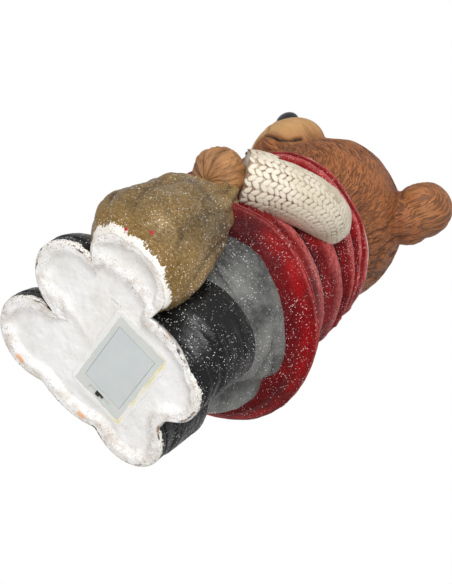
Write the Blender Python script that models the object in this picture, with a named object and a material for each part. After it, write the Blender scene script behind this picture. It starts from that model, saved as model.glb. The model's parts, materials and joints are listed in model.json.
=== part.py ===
"""A cast and painted bear figurine that stands on its boots beside a sack, with a battery box let into
its underside. Metres, +Z up; the bear looks along -Y and its left hand is at +X. The origin is in the
middle of the figure's outline, on the surface that it stands on."""

import math

import bmesh
import bpy
import numpy as np
from mathutils import Vector

# Driving sizes of the cast figure. Its pose and carving are drawn in units, 512 of them to its height.
figure_height = 0.512
drawn_height = 512.0
unit = figure_height / drawn_height
rim_width = 0.0095
recess_depth = 0.0050

# Driving sizes of the battery box.
flange_length = 0.0950
flange_width = 0.0600
flange_thickness = 0.0034
flange_drop = 0.0012
box_place = (0.0070, 0.0185)
tub_height = 0.0230
tub_wall = 0.0020
corner_radius = 0.0020
lid_length = 0.0690
lid_width = 0.0450
lid_thickness = 0.0018
lid_offset = 0.0012
ledge_length = 0.0045
tongue_width = 0.0300
tongue_height = 0.0012
fit_gap = 0.0003

# Driving sizes of the slide switch.
switch_inset = 0.0075
switch_trough_length = 0.0260
switch_trough_width = 0.0052
switch_trough_depth = 0.0008
knob_length = 0.0044
knob_width = 0.0036
knob_proud = 0.0006
switch_travel = 0.0040
shoe_length = 0.0090
shoe_width = 0.0066
shoe_thickness = 0.0014
guide_wall = 0.0016


def smooth(low, high, value):
    """0 at low, 1 at high, with an easy curve between; low may be the greater."""
    share = np.clip((value - low) / (high - low), 0.0, 1.0)
    return share * share * (3.0 - 2.0 * share)


def along(value, knots):
    """The size at a place, on a smooth curve through (place, size) pairs."""
    places, sizes = np.array(knots, float).T
    slopes = np.gradient(sizes, places)
    value = np.clip(value, places[0], places[-1])
    index = np.clip(np.searchsorted(places, value) - 1, 0, len(places) - 2)
    span = places[index + 1] - places[index]
    share = (value - places[index]) / span
    from_size = (1 + 2 * share) * (1 - share) ** 2 * sizes[index] + share * (1 - share) ** 2 * span * slopes[index]
    to_size = share**2 * (3 - 2 * share) * sizes[index + 1] - share**2 * (1 - share) * span * slopes[index + 1]
    return from_size + to_size


def near(turn, place, width):
    """1 at one direction round the figure, falling to 0 within about twice the width."""
    away = (turn - place + math.pi) % (2 * math.pi) - math.pi
    return np.exp(-((away / width) ** 2))


def reach(turn, start, centre, radii):
    """How far a ray from start runs, at this turn, before it leaves an ellipse for the last time."""
    across, ahead = np.sin(turn), -np.cos(turn)
    gap = (centre[0] - start[0], centre[1] - start[1])
    a = (across / radii[0]) ** 2 + (ahead / radii[1]) ** 2
    b = across * gap[0] / radii[0] ** 2 + ahead * gap[1] / radii[1] ** 2
    c = (gap[0] / radii[0]) ** 2 + (gap[1] / radii[1]) ** 2 - 1
    inside = b * b - a * c
    return np.where(inside > 0, (b + np.sqrt(np.maximum(inside, 0))) / a, 0.0)


def merged(reaches, softness):
    """The furthest of several reaches, with the corners between them eased."""
    reaches = np.maximum(np.stack(reaches), 1.0)
    return (reaches**softness).sum(0) ** (1 / softness)


# The bear's boots, each a toe, an instep and a shaft that run into one outline at every height.
boot_top = 93.0
boot_start = (40.0, 12.0)
sole_line = 11.0
ankle_line = 34.0


def boot_ellipses(height):
    height = np.maximum(height, 0.0)
    toe = np.clip(1 - (height / 63.0) ** 2.6, 0.0, 1.0) ** (1 / 2.6)
    swell = 1 + 0.05 * np.sin(np.pi * np.clip(height / 34.0, 0, 1))
    instep = np.clip(1 - (height / 84.0) ** 2.2, 0.0, 1.0) ** (1 / 2.2)
    shaft = smooth(0.0, 40.0, height)
    return (
        ((39.0, -61.0 + 10 * (1 - toe)), (39.0 * toe * swell + 0.1, 44.0 * toe * swell + 0.1)),
        ((34.0, -8.0), (40.5 * instep + 0.1, 62.0 * instep + 0.1)),
        ((35.0 + 9.0 * shaft, 59.0 - 17.0 * shaft), (34.0 + 13.5 * shaft, 40.0 + 15.0 * shaft)),
    )


def boot(side, turn, rise):
    height = boot_top * rise
    reaches = [reach(turn, boot_start, centre, radii) for centre, radii in boot_ellipses(height)]
    radius = merged(reaches, 14.0)
    radius = radius - 1.6 * np.exp(-(((height - sole_line) / 2.4) ** 2))
    radius = radius - 2.2 * np.exp(-(((height - ankle_line) / 4.0) ** 2)) * near(turn, math.pi, 1.3)
    radius = radius * (1 - 0.10 * smooth(0.93, 1.0, rise))
    return np.stack(
        [side * (boot_start[0] + radius * np.sin(turn)), boot_start[1] - radius * np.cos(turn), height], -1
    )


# Trousers, gathered into the boots and parted into two legs in front and behind.
trouser_levels = (80.0, 172.0)


def trousers(turn, rise):
    height = trouser_levels[0] + (trouser_levels[1] - trouser_levels[0]) * rise
    radius = along(height, [(80, 80), (94, 90), (112, 99), (135, 106), (155, 109), (172, 106)])
    parting = near(turn, 0.0, 0.17) + near(turn, math.pi, 0.17)
    radius = radius - 15.0 * parting * (1 - 0.35 * smooth(100, 165, height))
    low = 1 - smooth(92, 150, height)
    radius = radius + 2.4 * low * np.sin(11 * turn + 1.5 * np.sin(2 * turn))
    radius = radius + 1.6 * np.sin(5 * turn + height / 13.0)
    return np.stack([0.94 * radius * np.sin(turn), 5.0 - radius * np.cos(turn), height], -1)


# The padded vest. Levels are its hem, the grooves between its rolls and the rim of its collar.
vest_levels = (148.0, 178.0, 228.0, 277.0, 320.0, 343.0, 352.0)
vest_back_drops = (0.0, 0.0, -4.0, -4.0, 18.0, 26.0, 6.0)
vest_front_drops = (14.0, 14.0, 8.0, 2.0, 0.0, 0.0, 0.0)
vest_rolls = (8.0, 6.0, 5.5, 5.0, 3.5, 2.0, 0.0)
vest_body = [(134, 110), (150, 114), (177, 119), (192, 112), (206, 105), (228, 100), (277, 95), (320, 92), (352, 90)]
vest_centre = 7.0
collar_spread = 11.0


def vest(turn, rise):
    roll = np.minimum(np.floor(rise), len(vest_levels) - 2).astype(int)
    share = rise - roll
    behind = smooth(1.9, 2.8, np.abs(turn))
    before = smooth(1.8, 1.1, np.abs(turn))
    levels = [
        np.array(vest_levels)[roll + step]
        - np.array(vest_back_drops)[roll + step] * behind
        - np.array(vest_front_drops)[roll + step] * before
        for step in (0, 1)
    ]
    height = levels[0] * (1 - share) + levels[1] * share
    radius = along(height, vest_body)
    belly = along(height, [(134, -5), (177, -4), (205, 6), (235, 17), (262, 19), (295, 12), (335, 1)])
    radius = radius + belly * smooth(1.7, 0.3, np.abs(turn))
    radius = radius + collar_spread * smooth(300, 345, height) * smooth(2.0, 1.0, np.abs(turn))
    closing = near(turn, 0.0, 0.055)
    bulge = np.array(vest_rolls)[roll] * np.sin(np.pi * share) ** 0.75
    radius = radius + bulge * (1 - 0.8 * closing) - 2.0 * closing
    narrow = along(height, [(134, 0.96), (250, 0.97), (352, 0.99)])
    return np.stack([narrow * radius * np.sin(turn), vest_centre - radius * np.cos(turn), height], -1)


# The head, turned to the bear's left and lifted.
head_centre = np.array([0.0, -2.0, 412.0])
head_yaw = math.radians(19.0)
head_pitch = math.radians(20.0)
head_radius = 97.0
facing = np.array(
    [
        math.sin(head_yaw) * math.cos(head_pitch),
        -math.cos(head_yaw) * math.cos(head_pitch),
        math.sin(head_pitch),
    ]
)
leftward = np.array([math.cos(head_yaw), math.sin(head_yaw), 0.0])
crownward = np.cross(leftward, -facing)


def in_head(across, ahead, up):
    """A place in the head's own directions, as a place in the figure."""
    across, ahead, up = (np.asarray(value, float)[..., None] for value in (across, ahead, up))
    return head_centre + across * leftward + ahead * facing + up * crownward


def ball(turn, rise):
    """A unit ball's across, ahead and up at this turn and this share of the way from bottom to top."""
    tilt = math.pi * (rise - 0.5)
    return np.cos(tilt) * np.sin(turn), np.cos(tilt) * np.cos(turn), np.sin(tilt)


def head(turn, rise):
    across, ahead, up = ball(turn, rise)
    cheeks = np.exp(-(((np.abs(across) - 0.78) ** 2 + (ahead - 0.35) ** 2 + (up + 0.35) ** 2) / 0.35))
    brow = np.exp(-((across**2 + (ahead - 0.86) ** 2 + (up - 0.42) ** 2) / 0.12))
    sockets = np.exp(-(((np.abs(across) - 0.44) ** 2 + (ahead - 0.83) ** 2 + (up - 0.34) ** 2) / 0.025))
    muzzle_middle, muzzle_radii = muzzle_form
    away = [
        (head_radius * part - middle) / size
        for part, middle, size in zip((across, ahead, up), muzzle_middle, muzzle_radii)
    ]
    hollow = smooth(1.65, 1.15, np.sqrt(away[0] ** 2 + away[1] ** 2 + away[2] ** 2))
    radius = head_radius * (1 + 0.055 * cheeks + 0.02 * brow - 0.05 * sockets - 0.04 * hollow)
    return in_head(radius * across, radius * 0.98 * ahead, radius * up)


def neck(turn, rise):
    across, ahead, up = ball(turn, rise)
    return np.stack([89.0 * across, 3.0 - 90.0 * ahead, 352.0 + 44.0 * up], -1)


# Rounded forms on the head: (across, ahead, up) of the centre and the three radii.
muzzle_form = ((0.0, 83.0, -12.0), (51.0, 37.0, 32.0))
chin_form = ((0.0, 76.0, -34.0), (31.0, 31.0, 21.0))
nose_form = ((0.0, 122.0, 6.0), (15.0, 11.0, 11.0))
eye_form = ((38.5, 76.0, 30.0), (8.0, 6.5, 9.5))
ear_form = ((100.0, -27.0, 61.0), (31.0, 32.0, 33.0))
ear_root = ((84.0, -34.0, 46.0), (27.0, 28.0, 30.0))
ear_hollow = ((104.0, 6.0, 64.0), (19.0, 19.0, 21.0))


def head_form(form, side, turn, rise):
    (across, ahead, up), radii = form
    parts = ball(turn, rise)
    return in_head(side * across + radii[0] * parts[0], ahead + radii[1] * parts[1], up + radii[2] * parts[2])


# The arms: each sleeve follows a curve from shoulder to cuff, and the paw is past the cuff.
sleeve_path = ((100.0, 30.0, 275.0), (124.0, 20.0, 252.0), (127.0, -8.0, 222.0), (117.0, -45.0, 197.0))
right_path = ((-98.0, 34.0, 290.0), (-128.0, 14.0, 254.0), (-132.0, -30.0, 222.0), (-108.0, -72.0, 206.0))
cuff_start = 0.80
paw_form = ((111.0, -62.0, 183.0), (27.0, 27.0, 25.0))
right_paw_form = ((-91.0, -89.0, 203.0), (27.0, 24.0, 23.0))


def on_path(path, share):
    """A place on the cubic curve with these four control points, and the way it runs there."""
    p0, p1, p2, p3 = (np.array(point) for point in path)
    t = np.asarray(share, float)[..., None]
    place = (1 - t) ** 3 * p0 + 3 * t * (1 - t) ** 2 * p1 + 3 * t * t * (1 - t) * p2 + t**3 * p3
    way = 3 * (1 - t) ** 2 * (p1 - p0) + 6 * t * (1 - t) * (p2 - p1) + 3 * t * t * (p3 - p2)
    return place, way / np.linalg.norm(way, axis=-1, keepdims=True)


cable_count = 7


def sleeve(path, turn, rise):
    """Rise runs from -0.2, a round end at the shoulder, to 1, the cuff's edge."""
    share = np.clip(rise, 0.0, 1.0)
    place, way = on_path(path, share)
    side = np.cross(way, (0.0, 0.0, 1.0))
    side = side / np.linalg.norm(side, axis=-1, keepdims=True)
    over = np.cross(side, way)
    radius = along(share, [(0.0, 23.0), (0.35, 25.0), (0.75, 26.5), (1.0, 27.0)])
    cable = np.abs(np.sin(0.5 * cable_count * turn)) ** 0.7
    bumps = 0.5 + 0.5 * np.cos(2 * math.pi * share * 9)
    radius = radius + (1 - smooth(cuff_start - 0.06, cuff_start, share)) * (1.8 * cable + 0.8 * cable * bumps)
    radius = radius + 3.0 * smooth(cuff_start - 0.02, cuff_start + 0.04, share) * (1 - 0.6 * smooth(0.94, 1.0, share))
    end = np.clip(-rise / 0.2, 0.0, 1.0)
    radius = radius * np.sqrt(np.maximum(1 - end**2, 0.02))
    place = place - way * (30.0 * end)[..., None]
    return place + radius[..., None] * (np.cos(turn)[..., None] * side + np.sin(turn)[..., None] * over)


finger_gaps = (-0.8, -0.15, 0.5, 1.15)


def paw(form, turn, rise):
    (x, y, z), radii = form
    across, ahead, up = ball(turn, rise)
    gaps = sum(near(turn, place, 0.16) for place in finger_gaps)
    fingers = 1 - 0.10 * gaps * smooth(0.80, 0.50, rise)
    return np.stack([x + radii[0] * across * fingers, y - radii[1] * ahead * fingers, z + radii[2] * up], -1)


# The sack: (height, centre across, centre along, half width, half depth).
sack_sections = (
    (0, 95, -25.5, 31, 43.5),
    (22, 98, -32, 36, 55),
    (48, 103, -36, 39, 58),
    (85, 107, -39, 35, 48),
    (105, 110, -41, 31, 42),
    (122, 110, -41, 27, 34),
    (142, 107, -40, 22, 26),
    (158, 105, -41, 17, 18),
    (172, 103, -45, 20, 19),
)
sack_folds = 9


def sack(turn, rise):
    top = sack_sections[-1][0]
    height = top * rise
    centre_x, centre_y, half_x, half_y = (
        along(height, [(row[0], row[column]) for row in sack_sections]) for column in (1, 2, 3, 4)
    )
    gather = 0.015 + 0.075 * smooth(70, 165, height)
    fold = 1 + gather * np.sin(sack_folds * turn + 2.2 * np.sin(turn)) + 0.02 * np.sin(3 * turn + height / 22)
    slump = 1 + 0.03 * np.exp(-(((height - 96) / 9) ** 2)) * near(turn, 0.3, 1.2)
    return np.stack(
        [centre_x + half_x * fold * slump * np.sin(turn), centre_y - half_y * fold * slump * np.cos(turn), height],
        -1,
    )


def grid(form, around, rises, skew=0.0):
    """A form's places, one row for each rise and one column for each turn."""
    turn = np.linspace(-math.pi, math.pi, around, endpoint=False) + skew
    rise, turn = np.meshgrid(np.asarray(rises, float), turn, indexing="ij")
    return form(turn, rise) * unit


def steps(low, high, count):
    return np.linspace(low, high, count)


vest_rises = np.concatenate([roll + np.array([0.0, 0.14, 0.5, 0.86]) for roll in range(6)] + [[6.0]])
boot_rises = np.array([-4, 8, 11, 14, 24, 33, 39, 50, 60, 74, 86, 91, 93]) / boot_top
ball_rises = steps(0.08, 0.92, 7)

bodies = {
    "left_boot": grid(lambda turn, rise: boot(1, turn, rise), 26, boot_rises),
    "right_boot": grid(lambda turn, rise: boot(-1, turn, rise), 26, boot_rises),
    "trousers": grid(trousers, 32, steps(0, 1, 6)),
    "vest": grid(vest, 40, vest_rises),
    "neck": grid(neck, 26, steps(0.08, 0.92, 6)),
    "head": grid(head, 30, steps(0.04, 0.96, 14)),
    "muzzle": grid(lambda turn, rise: head_form(muzzle_form, 1, turn, rise), 18, steps(0.06, 0.94, 9)),
    "chin": grid(lambda turn, rise: head_form(chin_form, 1, turn, rise), 14, ball_rises),
    "nose": grid(lambda turn, rise: head_form(nose_form, 1, turn, rise), 12, steps(0.08, 0.92, 6)),
    "sack": grid(sack, 36, np.r_[-0.03, steps(0.1, 1, 12)]),
    "left_sleeve": grid(
        lambda turn, rise: sleeve(sleeve_path, turn, rise), 21, np.r_[-0.19, -0.12, steps(0, 1, 14)]
    ),
    "right_sleeve": grid(
        lambda turn, rise: sleeve(right_path, turn, rise), 21, np.r_[-0.19, -0.12, steps(0, 1, 14)]
    ),
    "left_paw": grid(lambda turn, rise: paw(paw_form, turn, rise), 20, ball_rises),
    "right_paw": grid(lambda turn, rise: paw(right_paw_form, turn, rise), 18, ball_rises),
}
ear_hollows = {}
for side, word in ((1, "left"), (-1, "right")):
    ear_hollows[word + "_ear_hollow"] = grid(
        lambda turn, rise: head_form(ear_hollow, side, turn, rise), 14, steps(0.08, 0.92, 7)
    )
    bodies[word + "_ear_root"] = grid(
        lambda turn, rise: head_form(ear_root, side, turn, rise), 12, steps(0.1, 0.9, 6)
    )
    bodies[word + "_ear"] = grid(
        lambda turn, rise: head_form(ear_form, side, turn, rise), 16, steps(0.07, 0.93, 8)
    )
    bodies[word + "_eye"] = grid(lambda turn, rise: head_form(eye_form, side, turn, rise), 10, steps(0.1, 0.9, 5))

# The middle of the whole outline becomes the origin.
everything = np.concatenate([points.reshape(-1, 3) for points in bodies.values()])
middle = (everything.min(0) + everything.max(0)) / 2
shift = np.array([-middle[0], -middle[1], 0.0])
box_centre = Vector((box_place[0] + shift[0], box_place[1] + shift[1], 0.0))


def material(name, colour, roughness, metallic=0.0):
    made = bpy.data.materials.new(name)
    made.use_nodes = True
    shader = made.node_tree.nodes["Principled BSDF"]
    shader.inputs["Base Color"].default_value = (*colour, 1.0)
    shader.inputs["Roughness"].default_value = roughness
    shader.inputs["Metallic"].default_value = metallic
    return made


def shaped(name, points, faces):
    mesh = bpy.data.meshes.new(name)
    mesh.from_pydata([tuple(point) for point in points], [], faces)
    outward = bmesh.new()
    outward.from_mesh(mesh)
    bmesh.ops.recalc_face_normals(outward, faces=outward.faces)
    outward.to_mesh(mesh)
    outward.free()
    made = bpy.data.objects.new(name, mesh)
    bpy.context.collection.objects.link(made)
    made.hide_render = True
    made.display_type = "WIRE"
    return made


def lofted(name, points):
    """A closed body from rows of places: its ends are fans to their middles."""
    rows, around = points.shape[:2]
    faces = []
    for row in range(rows - 1):
        for column in range(around):
            following = (column + 1) % around
            low, high = row * around, (row + 1) * around
            faces.append((low + column, low + following, high + following, high + column))
    bottom, top = rows * around, rows * around + 1
    for column in range(around):
        following = (column + 1) % around
        faces.append((bottom, following, column))
        faces.append((top, (rows - 1) * around + column, (rows - 1) * around + following))
    places = np.concatenate([points.reshape(-1, 3), [points[0].mean(0)], [points[-1].mean(0)]])
    return shaped(name, places, faces)


def combine(target, helpers, operation):
    """Joins helpers to the target, or cuts them out of it, all in one step."""
    together = bpy.data.collections.new(target.name + "_" + operation.lower())
    bpy.context.scene.collection.children.link(together)
    for helper in helpers:
        bpy.context.collection.objects.unlink(helper)
        together.objects.link(helper)
    change = target.modifiers.new(together.name, "BOOLEAN")
    change.operation = operation
    change.operand_type = "COLLECTION"
    change.collection = together
    change.solver = "EXACT"


def block(name, low, high, radius=0.0):
    """A helper block between two corners, its four upright edges rounded."""
    low, high = Vector(low), Vector(high)
    outline = []
    if radius:
        for corner, (cx, cy) in enumerate(
            (
                (high.x - radius, high.y - radius),
                (low.x + radius, high.y - radius),
                (low.x + radius, low.y + radius),
                (high.x - radius, low.y + radius),
            )
        ):
            for step in range(5):
                angle = math.pi / 2 * (corner + step / 4)
                outline.append((cx + radius * math.cos(angle), cy + radius * math.sin(angle)))
    else:
        outline = [(high.x, high.y), (low.x, high.y), (low.x, low.y), (high.x, low.y)]
    count = len(outline)
    points = [(x, y, z) for z in (low.z, high.z) for x, y in outline]
    faces = [(i, (i + 1) % count, count + (i + 1) % count, count + i) for i in range(count)]
    faces += [tuple(range(count))[::-1], tuple(range(count, 2 * count))]
    return shaped(name, points, faces)


def centred_block(name, centre, length, width, bottom, top, radius=0.0):
    return block(
        name,
        (centre.x - length / 2, centre.y - width / 2, bottom),
        (centre.x + length / 2, centre.y + width / 2, top),
        radius,
    )


def node(made, finish):
    """Makes a helper a piece of the object."""
    made.hide_render = False
    made.display_type = "TEXTURED"
    made.data.materials.append(finish)
    made.data.shade_smooth()
    made.data.set_sharp_from_angle(angle=math.radians(40))
    return made


for old in list(bpy.data.objects):
    bpy.data.objects.remove(old, do_unlink=True)

# The cast figure.
parts = {name: lofted(name, points + shift) for name, points in bodies.items()}
figure = parts.pop("vest")
figure.name = "bear_figure"
combine(figure, parts.values(), "UNION")
low, high = everything.min(0) + shift, everything.max(0) + shift
ground = block("ground", (2 * low[0], 2 * low[1], -0.05), (2 * high[0], 2 * high[1], 0.0))

# The recess under it: each lobe of the footprint less the rim, and a dished floor.
margin = 0.0020
floor_start = (8.0, 0.0)


def footprint(turn, inset):
    inset = inset / unit
    ellipses = []
    for side in (1, -1):
        for centre, radii in boot_ellipses(np.zeros(1)):
            ellipses.append(
                ((side * centre[0], centre[1]), (radii[0] - inset, radii[1] - inset))
            )
    height, centre_x, centre_y, half_x, half_y = sack_sections[0]
    ellipses.append(((centre_x, centre_y), (half_x - inset, half_y - inset)))
    ellipses.append(((0.0, -2.0), (50.0, 62.0)))
    return merged([reach(turn, floor_start, centre, radii) for centre, radii in ellipses], 24.0)


def recess(turn, rise):
    """Rise 0 is under the foot, 1 the edge of the floor; the walls lean in by half the depth."""
    depth = recess_depth / unit
    height = rise * (depth + margin / unit) - margin / unit
    radius = footprint(turn, rim_width) - 0.6 * np.maximum(height, 0)
    return np.stack(
        [floor_start[0] + radius * np.sin(turn), floor_start[1] - radius * np.cos(turn), height], -1
    )


recess_cutter = lofted("recess_cutter", grid(recess, 96, [0.0, 0.55, 1.0]) + shift)

# The pocket that the battery box is glued into.
flange_face = recess_depth - flange_drop
flange_back = flange_face + flange_thickness
tub_top = flange_back + tub_height
pocket_flange = centred_block(
    "pocket_flange",
    box_centre,
    flange_length + 2 * fit_gap,
    flange_width + 2 * fit_gap,
    -margin,
    flange_back + fit_gap,
    corner_radius + fit_gap,
)
lid_centre = box_centre + Vector((lid_offset, 0.0, 0.0))
bay_length = lid_length - 2 * ledge_length
bay_width = lid_width + 2 * fit_gap
tub_length = bay_length + 2 * tub_wall
tub_width = bay_width + 2 * tub_wall
pocket_tub = centred_block(
    "pocket_tub",
    lid_centre,
    tub_length + 2 * fit_gap,
    tub_width + 2 * fit_gap,
    0.0,
    tub_top + fit_gap,
    corner_radius + fit_gap,
)
switch_centre = Vector((box_centre.x - flange_length / 2 + switch_inset, box_centre.y, 0.0))
guide_width = shoe_width + 2 * fit_gap
guide_run = shoe_length + switch_travel + 2 * fit_gap
guide_top = flange_back + shoe_thickness + 2 * fit_gap
pocket_switch = centred_block(
    "pocket_switch",
    switch_centre,
    guide_width + 2 * guide_wall + 2 * fit_gap,
    guide_run + 2 * guide_wall + 2 * fit_gap,
    0.0,
    guide_top + guide_wall + fit_gap,
)
hollows = [lofted(name, points + shift) for name, points in ear_hollows.items()]
combine(figure, (ground, recess_cutter, pocket_flange, pocket_tub, pocket_switch, *hollows), "DIFFERENCE")
node(figure, material("painted_cast_stone", (0.30, 0.03, 0.03), 0.6))

# The battery box: a flange with a tub behind it, open below, and a case for the switch.
housing = centred_block(
    "battery_housing", box_centre, flange_length, flange_width, flange_face, flange_back, corner_radius
)
tub = centred_block(
    "tub", lid_centre, tub_length, tub_width, flange_face + flange_thickness / 2, tub_top, corner_radius
)
switch_case = centred_block(
    "switch_case",
    switch_centre,
    guide_width + 2 * guide_wall,
    guide_run + 2 * guide_wall,
    flange_face + flange_thickness / 2,
    guide_top + guide_wall,
)
combine(housing, (tub, switch_case), "UNION")

lid_seat = centred_block(
    "lid_seat",
    lid_centre,
    lid_length + 2 * fit_gap,
    bay_width,
    flange_face - margin,
    flange_face + lid_thickness + fit_gap,
)
bay = centred_block("bay", lid_centre, bay_length, bay_width, flange_face, tub_top - tub_wall)

# The switch's trough, its slot and the guide that keeps its shoe.
trough = centred_block(
    "trough",
    switch_centre,
    switch_trough_width,
    switch_trough_length,
    flange_face - margin,
    flange_face + switch_trough_depth,
)
slot = centred_block(
    "slot",
    switch_centre,
    knob_width + 2 * fit_gap,
    knob_length + switch_travel + 2 * fit_gap,
    flange_face,
    flange_back + shoe_thickness,
)
guide = centred_block("guide", switch_centre, guide_width, guide_run, flange_back, guide_top)
combine(housing, (lid_seat, bay, trough, slot, guide), "DIFFERENCE")
node(housing, material("translucent_plastic", (0.78, 0.80, 0.76), 0.4))

# The lid lifts off. A tongue on its back keeps it in place over the bay.
lid = centred_block(
    "battery_lid", lid_centre, lid_length, lid_width, flange_face, flange_face + lid_thickness
)
tongue = centred_block(
    "tongue",
    lid_centre,
    bay_length - 2 * fit_gap,
    tongue_width,
    flange_face + lid_thickness / 2,
    flange_face + lid_thickness + tongue_height,
)
combine(lid, (tongue,), "UNION")
node(lid, material("lid_plastic", (0.70, 0.73, 0.73), 0.35))

# The switch's slider rests at the end of its travel nearer the toes.
slider_centre = switch_centre - Vector((0.0, switch_travel / 2, 0.0))
shoe_bottom = flange_back + fit_gap
slider = centred_block(
    "switch_slider",
    slider_centre,
    knob_width,
    knob_length,
    flange_face - knob_proud,
    shoe_bottom + shoe_thickness / 2,
)
shoe = centred_block(
    "shoe", slider_centre, shoe_width, shoe_length, shoe_bottom, shoe_bottom + shoe_thickness
)
combine(slider, (shoe,), "UNION")
node(slider, material("switch_plastic", (0.02, 0.02, 0.02), 0.45))
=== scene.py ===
# Looks of a cast and painted bear figurine, seen from below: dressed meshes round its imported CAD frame.
import itertools
import json
import math

import bpy
import numpy as np
from mathutils import Matrix, Vector

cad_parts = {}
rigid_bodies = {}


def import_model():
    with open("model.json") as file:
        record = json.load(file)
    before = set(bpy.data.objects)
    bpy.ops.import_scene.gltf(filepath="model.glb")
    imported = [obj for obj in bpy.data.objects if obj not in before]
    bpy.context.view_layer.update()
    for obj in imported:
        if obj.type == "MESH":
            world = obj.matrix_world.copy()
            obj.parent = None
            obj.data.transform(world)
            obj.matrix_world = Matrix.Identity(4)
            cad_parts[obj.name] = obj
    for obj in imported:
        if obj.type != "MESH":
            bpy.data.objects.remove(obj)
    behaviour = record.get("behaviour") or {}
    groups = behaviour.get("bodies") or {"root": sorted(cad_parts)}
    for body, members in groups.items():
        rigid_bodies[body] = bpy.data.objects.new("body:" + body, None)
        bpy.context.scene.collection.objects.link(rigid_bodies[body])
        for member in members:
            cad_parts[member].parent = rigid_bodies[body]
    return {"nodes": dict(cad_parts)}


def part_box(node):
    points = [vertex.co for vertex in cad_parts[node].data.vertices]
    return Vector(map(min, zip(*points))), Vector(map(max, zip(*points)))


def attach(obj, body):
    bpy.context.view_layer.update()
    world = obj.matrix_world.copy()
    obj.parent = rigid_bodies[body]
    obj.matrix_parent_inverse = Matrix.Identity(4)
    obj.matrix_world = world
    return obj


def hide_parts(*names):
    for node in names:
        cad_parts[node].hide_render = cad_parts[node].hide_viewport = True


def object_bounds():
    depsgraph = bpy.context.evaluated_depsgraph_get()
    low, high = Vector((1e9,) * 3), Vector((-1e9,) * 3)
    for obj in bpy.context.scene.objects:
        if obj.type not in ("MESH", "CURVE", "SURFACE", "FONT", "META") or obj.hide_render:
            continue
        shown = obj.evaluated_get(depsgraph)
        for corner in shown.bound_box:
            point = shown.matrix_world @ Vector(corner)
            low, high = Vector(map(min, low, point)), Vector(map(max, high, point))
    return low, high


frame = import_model()
cadLow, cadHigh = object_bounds()
boxLow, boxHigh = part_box("battery_housing")

# Forms are drawn in millimetres of a 508.8 mm figure, then set down where the frame's battery box is.
figure = {"drawnHeight": 508.8, "boxAcross": 7.0, "boxAlong": 18.5}
unit = cadHigh.z / figure["drawnHeight"]
shift = np.array(
    [
        (boxLow.x + boxHigh.x) / 2 - figure["boxAcross"] * unit,
        (boxLow.y + boxHigh.y) / 2 - figure["boxAlong"] * unit,
        0.0,
    ]
)
print("Frame loaded")


# Curves, waves and noise.


def ease(low, high, value):
    share = np.clip((value - low) / (high - low), 0.0, 1.0)
    return share * share * (3.0 - 2.0 * share)


def follow(value, knots):
    # A smooth curve through (place, size) pairs.
    places, sizes = np.array(knots, float).T
    slopes = np.gradient(sizes, places)
    value = np.clip(value, places[0], places[-1])
    index = np.clip(np.searchsorted(places, value) - 1, 0, len(places) - 2)
    span = places[index + 1] - places[index]
    share = (value - places[index]) / span
    start = (1 - share) ** 2 * ((1 + 2 * share) * sizes[index] + share * span * slopes[index])
    end = share**2 * ((3 - 2 * share) * sizes[index + 1] - (1 - share) * span * slopes[index + 1])
    return start + end


def near(turn, place, width):
    # 1 at one direction round the figure, falling away on both sides.
    away = (turn - place + math.pi) % (2 * math.pi) - math.pi
    return np.exp(-((away / width) ** 2))


def bell(value, place, width):
    return np.exp(-(((value - place) / width) ** 2))


def lumps(points, size, seed):
    # Smooth noise from -1 to 1, from a sine's far digits, so that it is the same on each run.
    cell = np.asarray(points, float) / size + 19.7 * seed
    base = np.floor(cell)
    part = cell - base
    part = part * part * (3 - 2 * part)
    total = 0.0
    for corner in itertools.product((0, 1), repeat=cell.shape[-1]):
        value = np.sin((base + corner) @ np.array((127.1, 311.7, 74.7))[: cell.shape[-1]]) * 43758.5453
        weight = np.prod(np.where(corner, part, 1 - part), -1)
        total = total + (value - np.floor(value)) * weight
    return 2 * total - 1


def reach(turn, start, centre, radii):
    # How far a ray from start runs before it leaves an ellipse for the last time.
    across, ahead = np.sin(turn), -np.cos(turn)
    gap = (centre[0] - start[0], centre[1] - start[1])
    a = (across / radii[0]) ** 2 + (ahead / radii[1]) ** 2
    b = across * gap[0] / radii[0] ** 2 + ahead * gap[1] / radii[1] ** 2
    c = (gap[0] / radii[0]) ** 2 + (gap[1] / radii[1]) ** 2 - 1
    inside = b * b - a * c
    return np.where(inside > 0, (b + np.sqrt(np.maximum(inside, 0))) / a, 0.0)


def furthest(reaches, softness):
    reaches = np.maximum(np.stack(reaches), 1.0)
    return (reaches**softness).sum(0) ** (1 / softness)


def distanceTo(x, y, path):
    # How far a place on the floor is from a line through several points.
    best = np.full(np.shape(x), 1e9)
    for (x0, y0), (x1, y1) in zip(path, path[1:]):
        length = (x1 - x0) ** 2 + (y1 - y0) ** 2
        share = np.clip(((x - x0) * (x1 - x0) + (y - y0) * (y1 - y0)) / length, 0, 1)
        best = np.minimum(best, np.hypot(x - x0 - share * (x1 - x0), y - y0 - share * (y1 - y0)))
    return best


# Meshes.


def setLayer(mesh, name, values):
    # Numbers or directions, one for each point, that a finish or a node tree reads.
    values = np.asarray(values, np.float32)
    kind, key = ("FLOAT_VECTOR", "vector") if values.ndim == 2 else ("FLOAT", "value")
    mesh.attributes.new(name, kind, "POINT").data.foreach_set(key, values.ravel())


def objectFrom(name, data):
    made = bpy.data.objects.new(name, data)
    bpy.context.collection.objects.link(made)
    return made


def meshFrom(name, points, faces, finish, layers=None):
    mesh = bpy.data.meshes.new(name)
    mesh.from_pydata(np.asarray(points).tolist(), [], faces)
    for layer, values in (layers or {}).items():
        setLayer(mesh, layer, values)
    mesh.materials.append(finish)
    mesh.shade_smooth()
    return objectFrom(name, mesh)


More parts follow.
